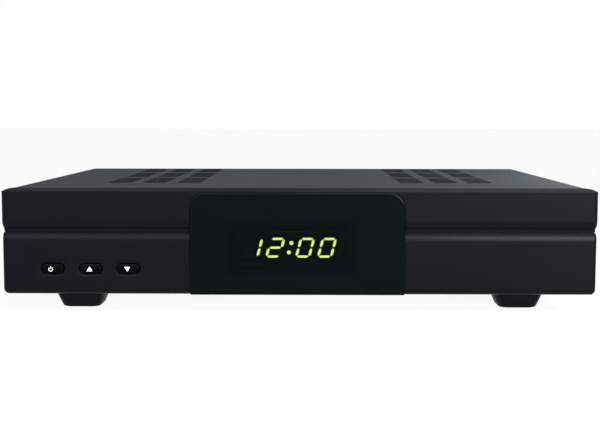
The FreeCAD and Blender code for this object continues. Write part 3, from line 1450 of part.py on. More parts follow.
def main():
    os.makedirs("parts", exist_ok=True)
    save("top_cover", top_cover())
    save("chassis_tray", chassis_tray())
    save("rear_panel", rear_panel())
    save("front_fascia", front_fascia())
    save("display_window", display_window())
    for name, x in zip(BUTTON_NAMES, BUTTON_POSITIONS):
        save(name + "_button", button_cap(x))
        save(name + "_switch_stem", switch_stem(x))
        save(name + "_switch_body", switch_body(x))
    save("display_module", display_module())
    save("display_lit_bars", *display_bars(True))
    save("display_unlit_bars", *display_bars(False))
    save("infrared_receiver", infrared_receiver())
    save("front_board", front_board())
    save("front_ribbon", front_ribbon())
    save("main_board", tray_board(MAIN_LEFT, MAIN_RIGHT, MAIN_FRONT, MAIN_POSTS))
    save("power_board", tray_board(POWER_LEFT, POWER_RIGHT, POWER_FRONT, POWER_POSTS))
    save("board_posts", *[post(x, y) for x, y in MAIN_POSTS + POWER_POSTS])
    save("board_screws", *board_screws())
    save("insulating_sheet", insulating_sheet())
    save("processor_chip", processor_chip())
    save("processor_heat_sink", processor_heat_sink())
    save("memory_chips", *memory_chips())
    save("small_capacitors", *small_capacitors())
    save("tuner_can", tuner_can())
    save("antenna_input_socket", antenna_socket(ANTENNA_POSITIONS[0]))
    save("antenna_output_socket", antenna_socket(ANTENNA_POSITIONS[1]))
    save("phono_block", phono_block())
    save("phono_barrels", *[phono_barrel(x) for x in PHONO_POSITIONS])
    save("television_sockets", television_sockets())
    save("serial_socket", serial_socket())
    save("serial_jack_posts", *[serial_jack_post(x, z) for x, z in serial_post_places()])
    save("mains_inlet", mains_inlet())
    save("mains_pins", *[mains_pin(side) for side in (-1, 1)])
    save("mains_fuse", mains_fuse())
    save("line_choke_core", line_choke_core())
    save("line_choke_windings", *line_choke_windings())
    save("bulk_capacitor", bulk_capacitor())
    save("transformer_core", transformer_core())
    save("transformer_winding", transformer_winding())
    save("power_heat_sink", power_heat_sink())
    save("switching_transistor", switching_transistor())
    save("power_harness", power_harness())
    save("harness_plugs", *harness_plugs())
    save("cover_screws", *screws(cover_screw_seats(), COVER_SCREW_LENGTH))
    save("fascia_screws", *screws(fascia_screw_seats(), FASCIA_SCREW_LENGTH))
    save("feet", *[foot(x, y) for x, y in FOOT_POSITIONS])
    save("foot_screws", *[foot_screw(x, y) for x, y in FOOT_POSITIONS])


main()
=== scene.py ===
"""Satellite television receiver, dressed: shaped fascia, cover, window, keys, sockets and finishes.

Lengths are millimetres in the frame's own axes (x across, y back, z up) until a mesh is made; lamps and
camera are placed in metres. A piece is made of patches; a patch is a pair: points (n, 3) and faces
(k, 4), worked out as whole arrays.
"""

import bpy, bmesh
import math
import numpy as np
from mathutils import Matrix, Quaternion, Vector


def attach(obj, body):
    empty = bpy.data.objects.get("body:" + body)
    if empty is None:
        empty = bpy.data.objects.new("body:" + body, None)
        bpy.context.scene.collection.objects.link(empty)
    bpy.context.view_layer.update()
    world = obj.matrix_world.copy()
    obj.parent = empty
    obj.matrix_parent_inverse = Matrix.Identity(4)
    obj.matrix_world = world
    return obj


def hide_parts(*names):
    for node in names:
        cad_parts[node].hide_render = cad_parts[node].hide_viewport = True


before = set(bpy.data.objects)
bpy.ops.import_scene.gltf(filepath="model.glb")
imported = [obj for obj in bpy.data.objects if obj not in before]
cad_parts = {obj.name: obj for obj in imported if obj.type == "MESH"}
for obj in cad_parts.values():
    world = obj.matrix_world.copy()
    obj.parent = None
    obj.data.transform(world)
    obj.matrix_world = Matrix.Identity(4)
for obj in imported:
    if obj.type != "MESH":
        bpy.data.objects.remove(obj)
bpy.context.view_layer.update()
for leftover in ("Cube", "Light", "Camera"):
    if leftover in bpy.data.objects:
        bpy.data.objects.remove(bpy.data.objects[leftover])

MM = 0.001  # metres in a millimetre
NEAR = 1e-6  # places closer than this are the same, in millimetres
WELD, SLIVER = 2e-6, 1e-7  # points closer than this are merged, and edges shorter than this go, in metres
EASED_FROM = math.radians(40)  # edges sharper than this are rounded
QUARTER = math.pi / 2
ROUND_STEPS = 48  # steps round a full turn, where a piece doesn't say otherwise

HALF = 150.0  # half the fascia's width
TOP_Z = 62.0  # top of the fascia and of the cover
FOOT_Z = 8.0  # underside of the fascia
FACE_Y = -113.5  # face of the fascia's upper band
PANEL_Y = 103.5  # outside of the rear panel


# Meshes out of patches


def sheet_of(points, keep=None):
    """Quads between neighbours of points in n rows of m; keep marks the cells that exist.

    Points that no kept cell uses are left out.
    """
    points = np.asarray(points)
    rows, columns = points.shape[:2]
    index = np.arange(rows * columns).reshape(rows, columns)
    quads = np.stack([index[:-1, :-1], index[1:, :-1], index[1:, 1:], index[:-1, 1:]], axis=-1)
    if keep is None:
        return points.reshape(-1, 3), quads.reshape(-1, 4)
    used, quads = np.unique(quads[keep], return_inverse=True)
    return points.reshape(-1, 3)[used], quads.reshape(-1, 4)


def tube_of(rings):
    """Quads round closed rings of m points each: the last column joins the first."""
    rings = np.asarray(rings)
    return sheet_of(np.concatenate([rings, rings[:, :1]], axis=1))


def solid_of(rings):
    """A closed skin: rings joined in order, with both end rings drawn in to their middles."""
    rings = np.asarray(rings)
    ends = [np.broadcast_to(end.mean(axis=1, keepdims=True), end.shape) for end in (rings[:1], rings[-1:])]
    return tube_of(np.concatenate([ends[0], rings, ends[1]]))


def block_of(x0, x1, y0, y1, z0, z1):
    """A closed block between two corners: a rectangle's ring carried along z."""
    corners = np.array([[x1, y1], [x0, y1], [x0, y0], [x1, y0]], float)
    return solid_of([np.column_stack([corners, np.full(4, z)]) for z in (z0, z1)])


def object_of(name, data):
    """An object for a mesh, a light or a camera, put in the scene."""
    made = bpy.data.objects.new(name, data)
    bpy.context.scene.collection.objects.link(made)
    return made


def finished(made, thick, ease):
    """The object's mesh, with a wall grown inwards (Solidify) and its sharp edges rounded (Bevel)."""
    if thick:
        wall = made.modifiers.new("wall", "SOLIDIFY")
        wall.thickness = thick * MM
        wall.offset = -1.0
        wall.use_even_offset = True
    if ease:
        soft = made.modifiers.new("eased edges", "BEVEL")
        soft.width = ease * MM
        soft.segments = 2
        soft.limit_method = "ANGLE"
        soft.angle_limit = EASED_FROM
    if thick or ease:
        view = bpy.context.evaluated_depsgraph_get()
        done = bpy.data.meshes.new_from_object(made.evaluated_get(view))
        made.modifiers.clear()
        made.data = done
    return made.data


def piece(name, patches, coat, replaced=None, body="case", crease=32.0, thick=0.0, ease=0.0):
    """One object from patches: merged where they meet, faces outward, smooth up to the crease angle.

    coat names its finish, and also the slot of a piece that stands for a CAD node. thick and ease are in
    millimetres, for its wall and its rounded edges.
    """
    starts = np.cumsum([0] + [len(points) for points, _ in patches])
    points = np.concatenate([points for points, _ in patches]) * MM
    faces = np.concatenate([quads + start for (_, quads), start in zip(patches, starts)])
    mesh = bpy.data.meshes.new(name)
    mesh.from_pydata(points, [], faces.tolist())
    made = object_of(name, mesh)
    work = bmesh.new()
    work.from_mesh(mesh)
    bmesh.ops.remove_doubles(work, verts=work.verts, dist=WELD)
    bmesh.ops.dissolve_degenerate(work, edges=work.edges, dist=SLIVER)
    bmesh.ops.recalc_face_normals(work, faces=work.faces)
    work.to_mesh(mesh)
    work.free()
    mesh = finished(made, thick, ease)
    mesh.polygons.foreach_set("use_smooth", np.ones(len(mesh.polygons), bool))
    mesh.set_sharp_from_angle(angle=math.radians(crease))
    mesh.materials.clear()
    mesh.materials.append(finishes[coat])
    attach(made, body)
    if replaced:
        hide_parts(replaced)
    return made


# Outlines and profiles


def outline(width, height, radii, inset=0.0, steps=8):
    """Points round a rectangle with quarter-circle corners: each corner's centre plus r (cos, sin).

    The corners run from +x +y anticlockwise; an inset draws the sides in and takes it off the radii.
    """
    radii = np.maximum(np.broadcast_to(np.asarray(radii, float), 4) - inset, 1e-3)
    side = np.array([[1, 1], [-1, 1], [-1, -1], [1, -1]], float)
    centres = side * (np.array([width, height]) / 2 - inset - radii[:, None])
    turn = np.linspace(0, QUARTER, steps + 1) + np.arange(4)[:, None] * QUARTER
    ring = np.stack([np.cos(turn), np.sin(turn)], axis=-1) * radii[:, None, None]
    return (centres[:, None, :] + ring).reshape(-1, 2)


def around(steps=ROUND_STEPS):
    """Angles at equal steps round a full turn."""
    return np.linspace(0, 2 * math.pi, steps, endpoint=False)


def circle(radius, steps=ROUND_STEPS):
    """Points on a circle: (cos, sin) of equal steps round, times one radius or a radius for each step."""
    turn = around(steps)
    return np.stack([radius * np.cos(turn), radius * np.sin(turn)], axis=-1)


def hexagonal(half_width):
    """A hexagon's outline: half its width over the cosine of the angle to the nearest flat's middle."""
    return circle(half_width / np.cos((around() + math.pi / 6) % (math.pi / 3) - math.pi / 6))


def along_y(loop, x, z, y):
    """An outline (across, up) set upright at depth y round the point (x, z)."""
    return np.stack([x + loop[:, 0], np.broadcast_to(y, len(loop)), z + loop[:, 1]], axis=-1)


def turned(rings, x, z, steps):
    """A closed skin of (radius, y) rings round the line along y through (x, z)."""
    return solid_of([along_y(circle(radius, steps), x, z, y) for radius, y in rings])


def rounded_edge(radius):
    """A quarter-round edge from the front to the side, as (inset, depth): r (1 - sin a), r (1 - cos a)."""
    turn = np.linspace(0, QUARTER, 6)
    return list(zip(radius * (1 - np.sin(turn)), radius * (1 - np.cos(turn))))


def filleted(corners, radii, steps=4):
    """A bent line with its corners rounded: each corner gives way to points on its tangent circle."""
    corners = np.asarray(corners, float)
    line = [corners[:1]]
    for before, here, after, radius in zip(corners, corners[1:], corners[2:], radii):
        back = (before - here) / np.linalg.norm(before - here)
        on = (after - here) / np.linalg.norm(after - here)
        half = math.acos(np.clip(back @ on, -1, 1)) / 2
        bisector = (back + on) / np.linalg.norm(back + on)
        centre = here + bisector * radius / math.sin(half)
        start = here + back * radius / math.tan(half) - centre
        sweep = np.linspace(0, math.pi - 2 * half, steps + 1)
        way = np.sign(start[0] * on[1] - start[1] * on[0])
        x = start[0] * np.cos(sweep) - way * start[1] * np.sin(sweep)
        y = way * start[0] * np.sin(sweep) + start[1] * np.cos(sweep)
        line.append(centre + np.stack([x, y], axis=-1))
    line.append(corners[-1:])
    return np.concatenate(line)


def rim_loop(across, up):
    """Points round a rectangle of columns and rows: along its top, down, back along its foot and up."""
    sides = [(across, up[-1]), (across[-1], up[::-1]), (across[::-1], up[0]), (across[0], up)]
    return np.concatenate([np.stack(np.broadcast_arrays(*side), axis=-1)[:-1] for side in sides])


def middles_of(*grids):
    """The middle of each cell of a grid, halfway between two opposite corners, for each of its arrays."""
    return [(grid[:-1, :-1] + grid[1:, 1:]) / 2 for grid in grids]


def in_boxes(x, y, boxes):
    """Which points lie within any of the boxes (x0, x1, y0, y1)."""
    inside = np.zeros(x.shape, bool)
    for x0, x1, y0, y1 in boxes:
        inside |= (x > x0) & (x < x1) & (y > y0) & (y < y1)
    return inside


# Finishes

TINT_RANGE = (0.32, 0.68)  # the part of the noise over which the colour changes
GLOSS_RANGE = (0.3, 0.7)  # the part of the noise over which the roughness changes
finishes = {}


def linear(colour):
    """An sRGB colour of 0 to 255 as linear light with alpha 1."""
    c = np.asarray(colour, float) / 255
    c = np.where(c <= 0.04045, c / 12.92, ((c + 0.055) / 1.055) ** 2.4)
    return (*c.tolist(), 1.0)


def added(tree, kind, **inputs):
    """A new node. Each input is named, with _ for a space, and given a value or another node's output."""
    node = tree.nodes.new("ShaderNode" + kind)
    for word, value in inputs.items():
        socket = node.inputs[word.replace("_", " ")]
        if isinstance(value, bpy.types.NodeSocket):
            tree.links.new(value, socket)
        else:
            socket.default_value = value
    return node


def worked(tree, operation, first, second=0.0, clamp=False):
    """What one arithmetic node makes of two values, each a number or another node's output."""
    node = tree.nodes.new("ShaderNodeMath")
    node.operation = operation
    node.use_clamp = clamp
    for socket, value in zip(node.inputs, (first, second)):
        if isinstance(value, float):
            socket.default_value = value
        else:
            tree.links.new(value, socket)
    return node.outputs[0]


def finish(name, dark, light, patch, rough, grain, relief, stretch=(1, 1, 1), vent_shade_colour=None, **sockets):
    """A material: noise of size patch mixes two colours, noise of size grain sets gloss and relief.

    patch, grain and relief are in millimetres; stretch draws the patterns out along the axes. The colour
    after stretch is painted shade: it is laid on faces whose painted shade attribute is 1, in place of the
    shade inside the vents.
    """
    made = bpy.data.materials.new(name)
    made.use_nodes = True
    tree = made.node_tree
    shader = tree.nodes["Principled BSDF"]
    place = added(tree, "TexCoord")
    drawn = added(tree, "Mapping", Vector=place.outputs["Object"], Scale=[1 / s for s in stretch])

    def noise(size, detail, roughness):
        way, scale = drawn.outputs["Vector"], 1 / MM / size
        node = added(tree, "TexNoise", Vector=way, Scale=scale, Detail=detail, Roughness=roughness)
        return node.outputs["Fac"]

    tint = added(tree, "ValToRGB", Fac=noise(patch, detail=5, roughness=0.6))
    for stop, position, colour in zip(tint.color_ramp.elements, TINT_RANGE, (dark, light)):
        stop.position, stop.color = position, linear(colour)
    colour = tint.outputs["Color"]
    # Painted shade: faces flagged by the vent shade attribute take a dark colour in place of the shade in the
    # slots
    if vent_shade_colour:
        edge = added(tree, "Attribute")
        edge.attribute_name = "painted_vent_shade"
        over = added(tree, "Mix")
        over.data_type = "RGBA"
        share, below, above = (over.inputs[i] for i in (0, 6, 7))  # a colour mix's own sockets
        above.default_value = linear(vent_shade_colour)
        tree.links.new(edge.outputs["Fac"], share)
        tree.links.new(colour, below)
        colour = over.outputs[2]
    tree.links.new(colour, shader.inputs["Base Color"])
    fine = noise(grain, detail=3, roughness=0.55)
    low, high = GLOSS_RANGE
    gloss = added(
        tree, "MapRange", Value=fine, From_Min=low, From_Max=high, To_Min=rough[0], To_Max=rough[1]
    )
    tree.links.new(gloss.outputs["Result"], shader.inputs["Roughness"])
    bump = added(tree, "Bump", Distance=relief * MM, Height=fine)
    tree.links.new(bump.outputs["Normal"], shader.inputs["Normal"])
    for socket, value in sockets.items():
        shader.inputs[socket.replace("_", " ")].default_value = value
    finishes[name] = made
    return made


def clear_zone(coat, middle, half, clear, fade=5.0):
    """Opaque but for a rectangle in x and z: alpha is clear inside it and rises to 1 over fade outside."""
    tree = finishes[coat].node_tree
    place = added(tree, "SeparateXYZ", Vector=tree.nodes["Texture Coordinate"].outputs["Object"])
    away = []
    for axis, centre, reach in zip("XZ", middle, half):
        off = worked(tree, "ABSOLUTE", worked(tree, "SUBTRACT", place.outputs[axis], centre * MM))
        past = worked(tree, "SUBTRACT", off, reach * MM)
        away.append(worked(tree, "MULTIPLY", past, 1 / (fade * MM), True))
    shut = worked(tree, "MULTIPLY", worked(tree, "MAXIMUM", *away), 1 - clear)
    tree.links.new(worked(tree, "ADD", shut, clear), tree.nodes["Principled BSDF"].inputs["Alpha"])


# The cover's extra colour, (8, 9, 11), is painted shade for the upright walls inside the vents
finish(
    "cover_paint", (33, 38, 44), (36, 42, 48), 40, (0.74, 0.8), 0.5, 0.01, vent_shade_colour=(8, 9, 11),
    Specular_IOR_Level=0.06,
)
finish(
    "fascia_plastic", (11, 9, 12), (13, 11, 14), 30, (0.26, 0.31), 0.35, 0.005,
    Specular_IOR_Level=0.07, Specular_Tint=(0.76, 0.83, 1.0, 1.0),
)
finish("window_plastic", (1, 5, 5), (2, 7, 7), 60, (0.08, 0.11), 8, 0.0, Specular_IOR_Level=0.065)
finish("button_plastic", (1, 1, 2), (2, 2, 3), 6, (0.2, 0.26), 0.3, 0.004, Specular_IOR_Level=0.04)
finish("foot_plastic", (3, 3, 4), (5, 5, 7), 8, (0.5, 0.62), 0.4, 0.02, Specular_IOR_Level=0.08)
finish("dark_plastic", (20, 20, 21), (30, 30, 31), 6, (0.42, 0.55), 0.4, 0.012)
finish("zinc_plate", (146, 148, 150), (174, 176, 178), 18, (0.34, 0.48), 1.2, 0.01, (1, 3, 1), Metallic=0.9)
finish("unlit_bars", (9, 12, 11), (12, 15, 13), 2, (0.5, 0.6), 0.3, 0.004)
finish(
    "lit_bars", (214, 240, 118), (226, 250, 134), 2, (0.5, 0.6), 0.3, 0.004,
    Emission_Color=linear((214, 242, 127)), Emission_Strength=8.2,
)
finish("circuit_board", (14, 60, 34), (22, 82, 46), 9, (0.3, 0.45), 1.5, 0.03)
finish("ribbon_plastic", (150, 152, 156), (196, 198, 200), 4, (0.4, 0.5), 1.0, 0.03, (1, 20, 20))
finish("brass_posts", (172, 140, 74), (196, 164, 92), 3, (0.25, 0.38), 0.5, 0.01, Metallic=1.0)
finish("brass_pins", (186, 158, 92), (206, 178, 108), 2, (0.18, 0.3), 0.4, 0.006, Metallic=1.0)
finish("contact_gold", (186, 158, 92), (206, 178, 108), 2, (0.2, 0.3), 0.4, 0.006, Metallic=1.0)
finish("zinc_screws", (170, 172, 170), (200, 202, 198), 2, (0.25, 0.4), 0.4, 0.01, Metallic=1.0)
finish("black_screws", (22, 22, 24), (36, 36, 38), 1.5, (0.35, 0.5), 0.3, 0.01, Metallic=0.4)
finish("insulator", (196, 190, 168), (214, 208, 188), 14, (0.5, 0.6), 0.8, 0.02)
finish("insulator_white", (214, 214, 210), (230, 230, 226), 2, (0.35, 0.45), 0.4, 0.006)
finish(
    "sink_aluminium", (150, 152, 156), (178, 180, 184), 5, (0.3, 0.42), 0.6, 0.02, (1, 12, 1),
    Metallic=1.0,
)
finish("capacitor_sleeve", (22, 26, 44), (30, 36, 58), 5, (0.22, 0.32), 0.6, 0.008)
finish("tinned_steel", (172, 174, 176), (206, 208, 210), 8, (0.2, 0.34), 0.8, 0.01, Metallic=1.0)
finish("nickel_plate", (176, 174, 168), (206, 204, 198), 3, (0.16, 0.28), 0.4, 0.006, Metallic=1.0)
finish("fuse_plastic", (132, 112, 84), (160, 138, 104), 3, (0.35, 0.45), 0.4, 0.01)
finish("ferrite", (44, 44, 46), (66, 66, 68), 2, (0.55, 0.75), 0.3, 0.03)
finish("copper_wire", (150, 74, 34), (196, 108, 58), 2, (0.22, 0.35), 0.7, 0.12, (20, 20, 1), Metallic=0.9)
finish("winding_tape", (190, 158, 52), (214, 182, 70), 6, (0.4, 0.5), 1.0, 0.03)
finish("plug_plastic", (206, 204, 194), (224, 222, 214), 3, (0.4, 0.5), 0.4, 0.01)
finish("symbol_ink", (244, 245, 246), (252, 252, 252), 0.5, (0.45, 0.55), 0.1, 0.002)
finish("display_mask", (2, 4, 4), (3, 6, 6), 3, (0.5, 0.6), 0.3, 0.002, Specular_IOR_Level=0.02)
for colour, dark, light in (
    ("yellow", (214, 172, 24), (228, 188, 36)),
    ("white", (222, 222, 218), (236, 236, 232)),
    ("red", (168, 20, 22), (186, 28, 28)),
    ("orange", (206, 92, 20), (222, 106, 28)),
):
    finish("sleeve_" + colour, dark, light, 3, (0.34, 0.44), 0.4, 0.006)

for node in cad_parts.values():
    for held in node.material_slots:
        held.material = finishes[held.material.name]


# Fascia

BEVEL_HEIGHT, BEVEL_DEPTH = 1.8, 1.4
RIDGE_BACK = 1.7  # back of the ridge, where the cover's tongue starts
TONGUE_HALF, TONGUE_Z = 143.15, 61.05  # half the width and the height of the ledge under the tongue
CORNER = 2.5  # radius of the ends, seen from above
END_X = 146.5  # past this the top edge follows the shoulders
SHOULDER_X, SHOULDER_DROP = 143.0, 2.0  # where the top starts to fall away, and how far it falls
BACK = 6.0  # depth of the shell
WALL_DEPTH = 3.0  # back of its front wall
INNER = (147.0, 11.0, 59.05)  # half width, floor and roof of its hollow
STEP = 0.4  # lower band behind the upper one
ARC_TOP, ARC_FALL, ARC_RADIUS = 45.5, 3.6, 6.0  # the upper band's arc into the groove
ROLL_FOOT, ROLL_RISE, ROLL_DEPTH = 34.9, 4.45, 0.8  # the lower band's roll into the groove
ROLL_RADIUS = (ROLL_DEPTH**2 + ROLL_RISE**2) / (2 * ROLL_DEPTH)
END_DEPTH, END_OUT = 0.55, 0.18  # the groove's share of its depth, and the lower band's stand, at the ends
FOOT_ROUND = 3.0
SEAT_DEPTH = 1.9
SEAT_LEFT, SEAT_RIGHT = -55.1, 53.5
SEAT_TOP, SEAT_CORNER = 60.05, 8.1
SHOULDER_LEVEL = 52.1  # lowest of the face's rows that follow the seat's corners
DISPLAY_OPENING = (-30.1, 21.1, 23.0, 40.2)
RECEIVER_OPENING = (30.0, 38.0, 27.6, 35.6)
OPENINGS = [DISPLAY_OPENING, RECEIVER_OPENING]
KEY_X = (-124.4, -105.3, -86.2)
KEY_Z = 21.1
KEY_ACROSS = np.linspace(-8.6, 8.6, 19)  # columns and rows of the part of the face round a key's hole
KEY_UP = np.linspace(-5.4, 5.4, 9)
KEY_BLOCKS = [(x + KEY_ACROSS[0], x + KEY_ACROSS[-1], KEY_Z + KEY_UP[0], KEY_Z + KEY_UP[-1]) for x in KEY_X]
HOLE_RADIUS, HOLE_SPINE = 3.05, 3.05  # a key's hole: its ends' radius, and half the way between their middles
SPINE_SHARE = 0.55  # a spine point's place across, over that of the edge point it belongs to
HOLE_LIP = ((0.07, 0), (0.02, 0.02), (0, 0.07), (0, 0.4))  # (wider than the hole, deeper than the band)
BEVEL_LINE = filleted(
    [(0, 50), (0, TOP_Z - BEVEL_HEIGHT), (BEVEL_DEPTH, TOP_Z), (RIDGE_BACK, TOP_Z)], [0.4, 0.35], 3
)


def behind_face(x, depth, z):
    """Points at a depth behind the face; x, depth and z are numbers or arrays that fit together."""
    return np.stack(np.broadcast_arrays(x, FACE_Y + depth, z), axis=-1)


def roll_depth(rise):
    """Depth of the lower band's roll at a height above its foot, on the circle that meets the band there."""
    return STEP + ROLL_RADIUS - np.sqrt(ROLL_RADIUS**2 - rise**2)


def fascia_section():
    """The face's section, top to foot, as (inset, z).

    A straight band, an arc in, an edge, the groove's floor and its slit, the roll out, the lower band
    and a quarter round below, with a row at each level that the openings need.
    """
    band = SEAT_TOP - (SEAT_TOP - SHOULDER_LEVEL) * (1 - np.sin(np.linspace(QUARTER, 0, 11)))
    fall = np.linspace(0, ARC_FALL, 9)
    rise = np.linspace(ROLL_RISE, 0, 11)
    turn = np.linspace(0, QUARTER, 8)
    rows = [(0, z) for z in band] + [(0, 49.0), (0, 46.0)]
    rows += list(zip(ARC_RADIUS - np.sqrt(ARC_RADIUS**2 - fall**2), ARC_TOP - fall))
    rows += [(1.5, 41.75), (1.7, 41.6), (1.75, 41.3), (1.75, 40.8), (1.85, 40.5), (1.85, DISPLAY_OPENING[3])]
    rows += [(1.85, 39.78), (2.6, 39.76), (2.6, 39.4)]
    rows += list(zip(roll_depth(rise), ROLL_FOOT + rise))
    rows += [(STEP, 34.6), (STEP, 31.0), (STEP, RECEIVER_OPENING[2])]
    rows += [(roll_depth(RECEIVER_OPENING[3] - ROLL_FOOT), RECEIVER_OPENING[3])]
    rows += [(STEP, KEY_Z + up) for up in KEY_UP[::-1]]
    rows += [(STEP, 13.0), (STEP, 11.3)]
    rows += list(zip(STEP + FOOT_ROUND * (1 - np.cos(turn)), FOOT_Z + FOOT_ROUND * (1 - np.sin(turn))))
    rows += [(BACK, FOOT_Z), (STEP, DISPLAY_OPENING[2])]
    rows = np.array(rows, float)
    order = np.lexsort((rows[:, 0], -np.round(rows[:, 1], 6)))
    return rows[order]


def fascia_stations():
    """Every x at which the face needs a column: holes, window corners, openings and even steps."""
    quarter = np.cos(np.linspace(QUARTER, 0, 11)) * SEAT_CORNER
    left = SEAT_LEFT + SEAT_CORNER - quarter
    right = SEAT_RIGHT - SEAT_CORNER + quarter
    keys = [x + KEY_ACROSS for x in KEY_X]
    fixed = [-146.4, 146.4, -TONGUE_HALF, TONGUE_HALF, *DISPLAY_OPENING[:2], *RECEIVER_OPENING[:2]]
    even = [-140.0, -72.0, -64.0, -40.0, -10.0, 5.0, 65.0, 80.0, 95.0, 110.0, 125.0, 138.0]
    return np.unique(np.round(np.concatenate([left, right, *keys, fixed, even]), 6))


def window_edge(x):
    """Height of the seat's upper edge at x: level, with a quarter circle down at each end."""
    past = np.maximum(SEAT_LEFT + SEAT_CORNER - x, x - (SEAT_RIGHT - SEAT_CORNER))
    past = np.clip(past, 0, SEAT_CORNER)
    return SEAT_TOP - SEAT_CORNER + np.sqrt(np.maximum(SEAT_CORNER**2 - past**2, 0))


def plan_path(inset, level, columns):
    """The face's path seen from above at an inset: left end, round corner, columns, corner, right end.

    At the ends the groove has a share of its depth, and the lower band stands a little further out.
    """
    side = END_DEPTH * inset if level >= ROLL_FOOT else inset - END_OUT
    radius = max(CORNER - inset, 0.02)
    angle = np.linspace(0, QUARTER, 9)
    reach = HALF - side - radius
    left = np.stack([-reach - radius * np.cos(angle), inset + radius - radius * np.sin(angle)], axis=-1)
    half = np.concatenate([[(side - HALF, BACK)], left])
    middle = np.stack([np.clip(columns, -reach, reach), np.full(len(columns), inset)], axis=-1)
    return np.concatenate([half, middle, half[::-1] * (-1, 1)])


def top_height(x, depth):
    """Height of the fascia's top: the lower of its bevel (by depth) and its shoulder (by |x|)."""
    bevel = np.interp(depth, BEVEL_LINE[:, 0], BEVEL_LINE[:, 1])
    past = np.clip((np.abs(x) - SHOULDER_X) / (HALF - SHOULDER_X), 0, 1)
    return np.minimum(bevel, TOP_Z - SHOULDER_DROP * past**2.2)


def key_hole_loops(x):
    """Loops round one key's hole: the block's edge, then points on the way from it to the hole's spine."""
    edge = rim_loop(KEY_ACROSS, KEY_UP)
    spine = np.clip(edge[:, 0] * SPINE_SHARE, -HOLE_SPINE, HOLE_SPINE)
    spine = np.stack([spine, np.zeros(len(edge))], axis=-1)
    away = edge - spine
    away /= np.linalg.norm(away, axis=1, keepdims=True)
    rows = [(edge, STEP)]
    for wider, depth in (*HOLE_LIP, (0, WALL_DEPTH - STEP)):
        rows.append((spine + away * (HOLE_RADIUS + wider), STEP + depth))
    rows.append((edge, WALL_DEPTH))
    return np.stack([along_y(loop, x, KEY_Z, FACE_Y + depth) for loop, depth in rows])


def opening_sides(x0, x1, z0, z1, stations, levels, depth0, depth1):
    """The four walls of a rectangular opening, between two depths, on the stations and levels."""
    across = stations[(stations > x0 - NEAR) & (stations < x1 + NEAR)]
    up = np.sort(levels[(levels > z0 - NEAR) & (levels < z1 + NEAR)])
    loop = rim_loop(across, up)
    return tube_of([along_y(loop, 0, 0, FACE_Y + depth) for depth in (depth0, depth1)])


def face_points(section, columns):
    """The face: the section's rows carried round the plan path, the top row up to the shoulders' line."""
    paths = np.stack([plan_path(inset, level, columns) for inset, level in section])
    x, depth = paths[..., 0], paths[..., 1]
    z = np.repeat(section[:, 1:], x.shape[1], axis=1)
    z[0] = np.where(np.abs(x[0]) > END_X, top_height(x[0], depth[0]), z[0])
    return behind_face(x, depth, z)


def seat_patches(section, columns):
    """The window's seat: a floor sunk in the face, pierced by the openings, its side walls and its rim."""
    levels = section[:, 1]
    inside = (columns > SEAT_LEFT - NEAR) & (columns < SEAT_RIGHT + NEAR)
    seat_x = columns[inside]
    edge = window_edge(seat_x)
    x, z = np.meshgrid(seat_x, levels)
    sunk = np.maximum(section[:, :1], SEAT_DEPTH)
    floor = behind_face(x, sunk, np.minimum(z, edge))
    patches = [sheet_of(floor, ~in_boxes(*middles_of(x, z), OPENINGS))]
    low = levels <= SEAT_TOP - SEAT_CORNER + NEAR
    for side in (SEAT_LEFT, SEAT_RIGHT):
        lines = [behind_face(side, depth[low], levels[low]) for depth in (section[:, 0], sunk[:, 0])]
        patches.append(sheet_of(lines))
    patches.append(sheet_of([behind_face(seat_x, depth, edge) for depth in (0, SEAT_DEPTH)]))
    upper = levels >= SEAT_TOP - SEAT_CORNER - NEAR
    for corner in (seat_x <= SEAT_LEFT + SEAT_CORNER + NEAR, seat_x >= SEAT_RIGHT - SEAT_CORNER - NEAR):
        x, z = np.meshgrid(seat_x[corner], levels[upper])
        patches.append(sheet_of(behind_face(x, 0, np.maximum(z, edge[corner]))))
    for opening in OPENINGS:
        patches.append(opening_sides(*opening, seat_x, levels, SEAT_DEPTH, WALL_DEPTH))
    return patches


def top_patches(top_x, tongue):
    """The top: bevel and ridge, ears that run back beside the tongue, and the ledge under the tongue."""
    past = np.maximum(np.abs(top_x) - (HALF - CORNER), 0)
    start = CORNER - np.sqrt(np.maximum(CORNER**2 - past**2, 0))
    foot = [0, 0.01, 0.05, 0.12]  # close rows where the bevel rounds into the face
    rows = np.concatenate([foot, np.unique(BEVEL_LINE[BEVEL_LINE[:, 0] > foot[-1], 0]), [BACK]])
    depth = np.maximum(rows[:, None], start)
    z = top_height(top_x, depth)
    z[0] = np.where(np.abs(top_x) > END_X, z[0], SEAT_TOP)
    top = behind_face(top_x, depth, z)
    ear = np.abs(middles_of(top[..., 0])[0]) > TONGUE_HALF
    ahead = np.arange(len(rows) - 1)[:, None] < len(rows) - 2
    ledge = [(RIDGE_BACK, TOP_Z), (RIDGE_BACK, TONGUE_Z), (BACK, TONGUE_Z)]
    patches = [sheet_of(top, ear | ahead), sheet_of([behind_face(tongue, depth, z) for depth, z in ledge])]
    run = np.array([RIDGE_BACK, BACK])
    for side in (-TONGUE_HALF, TONGUE_HALF):
        patches.append(sheet_of([behind_face(side, run, z) for z in (TOP_Z, TONGUE_Z)]))
    return patches


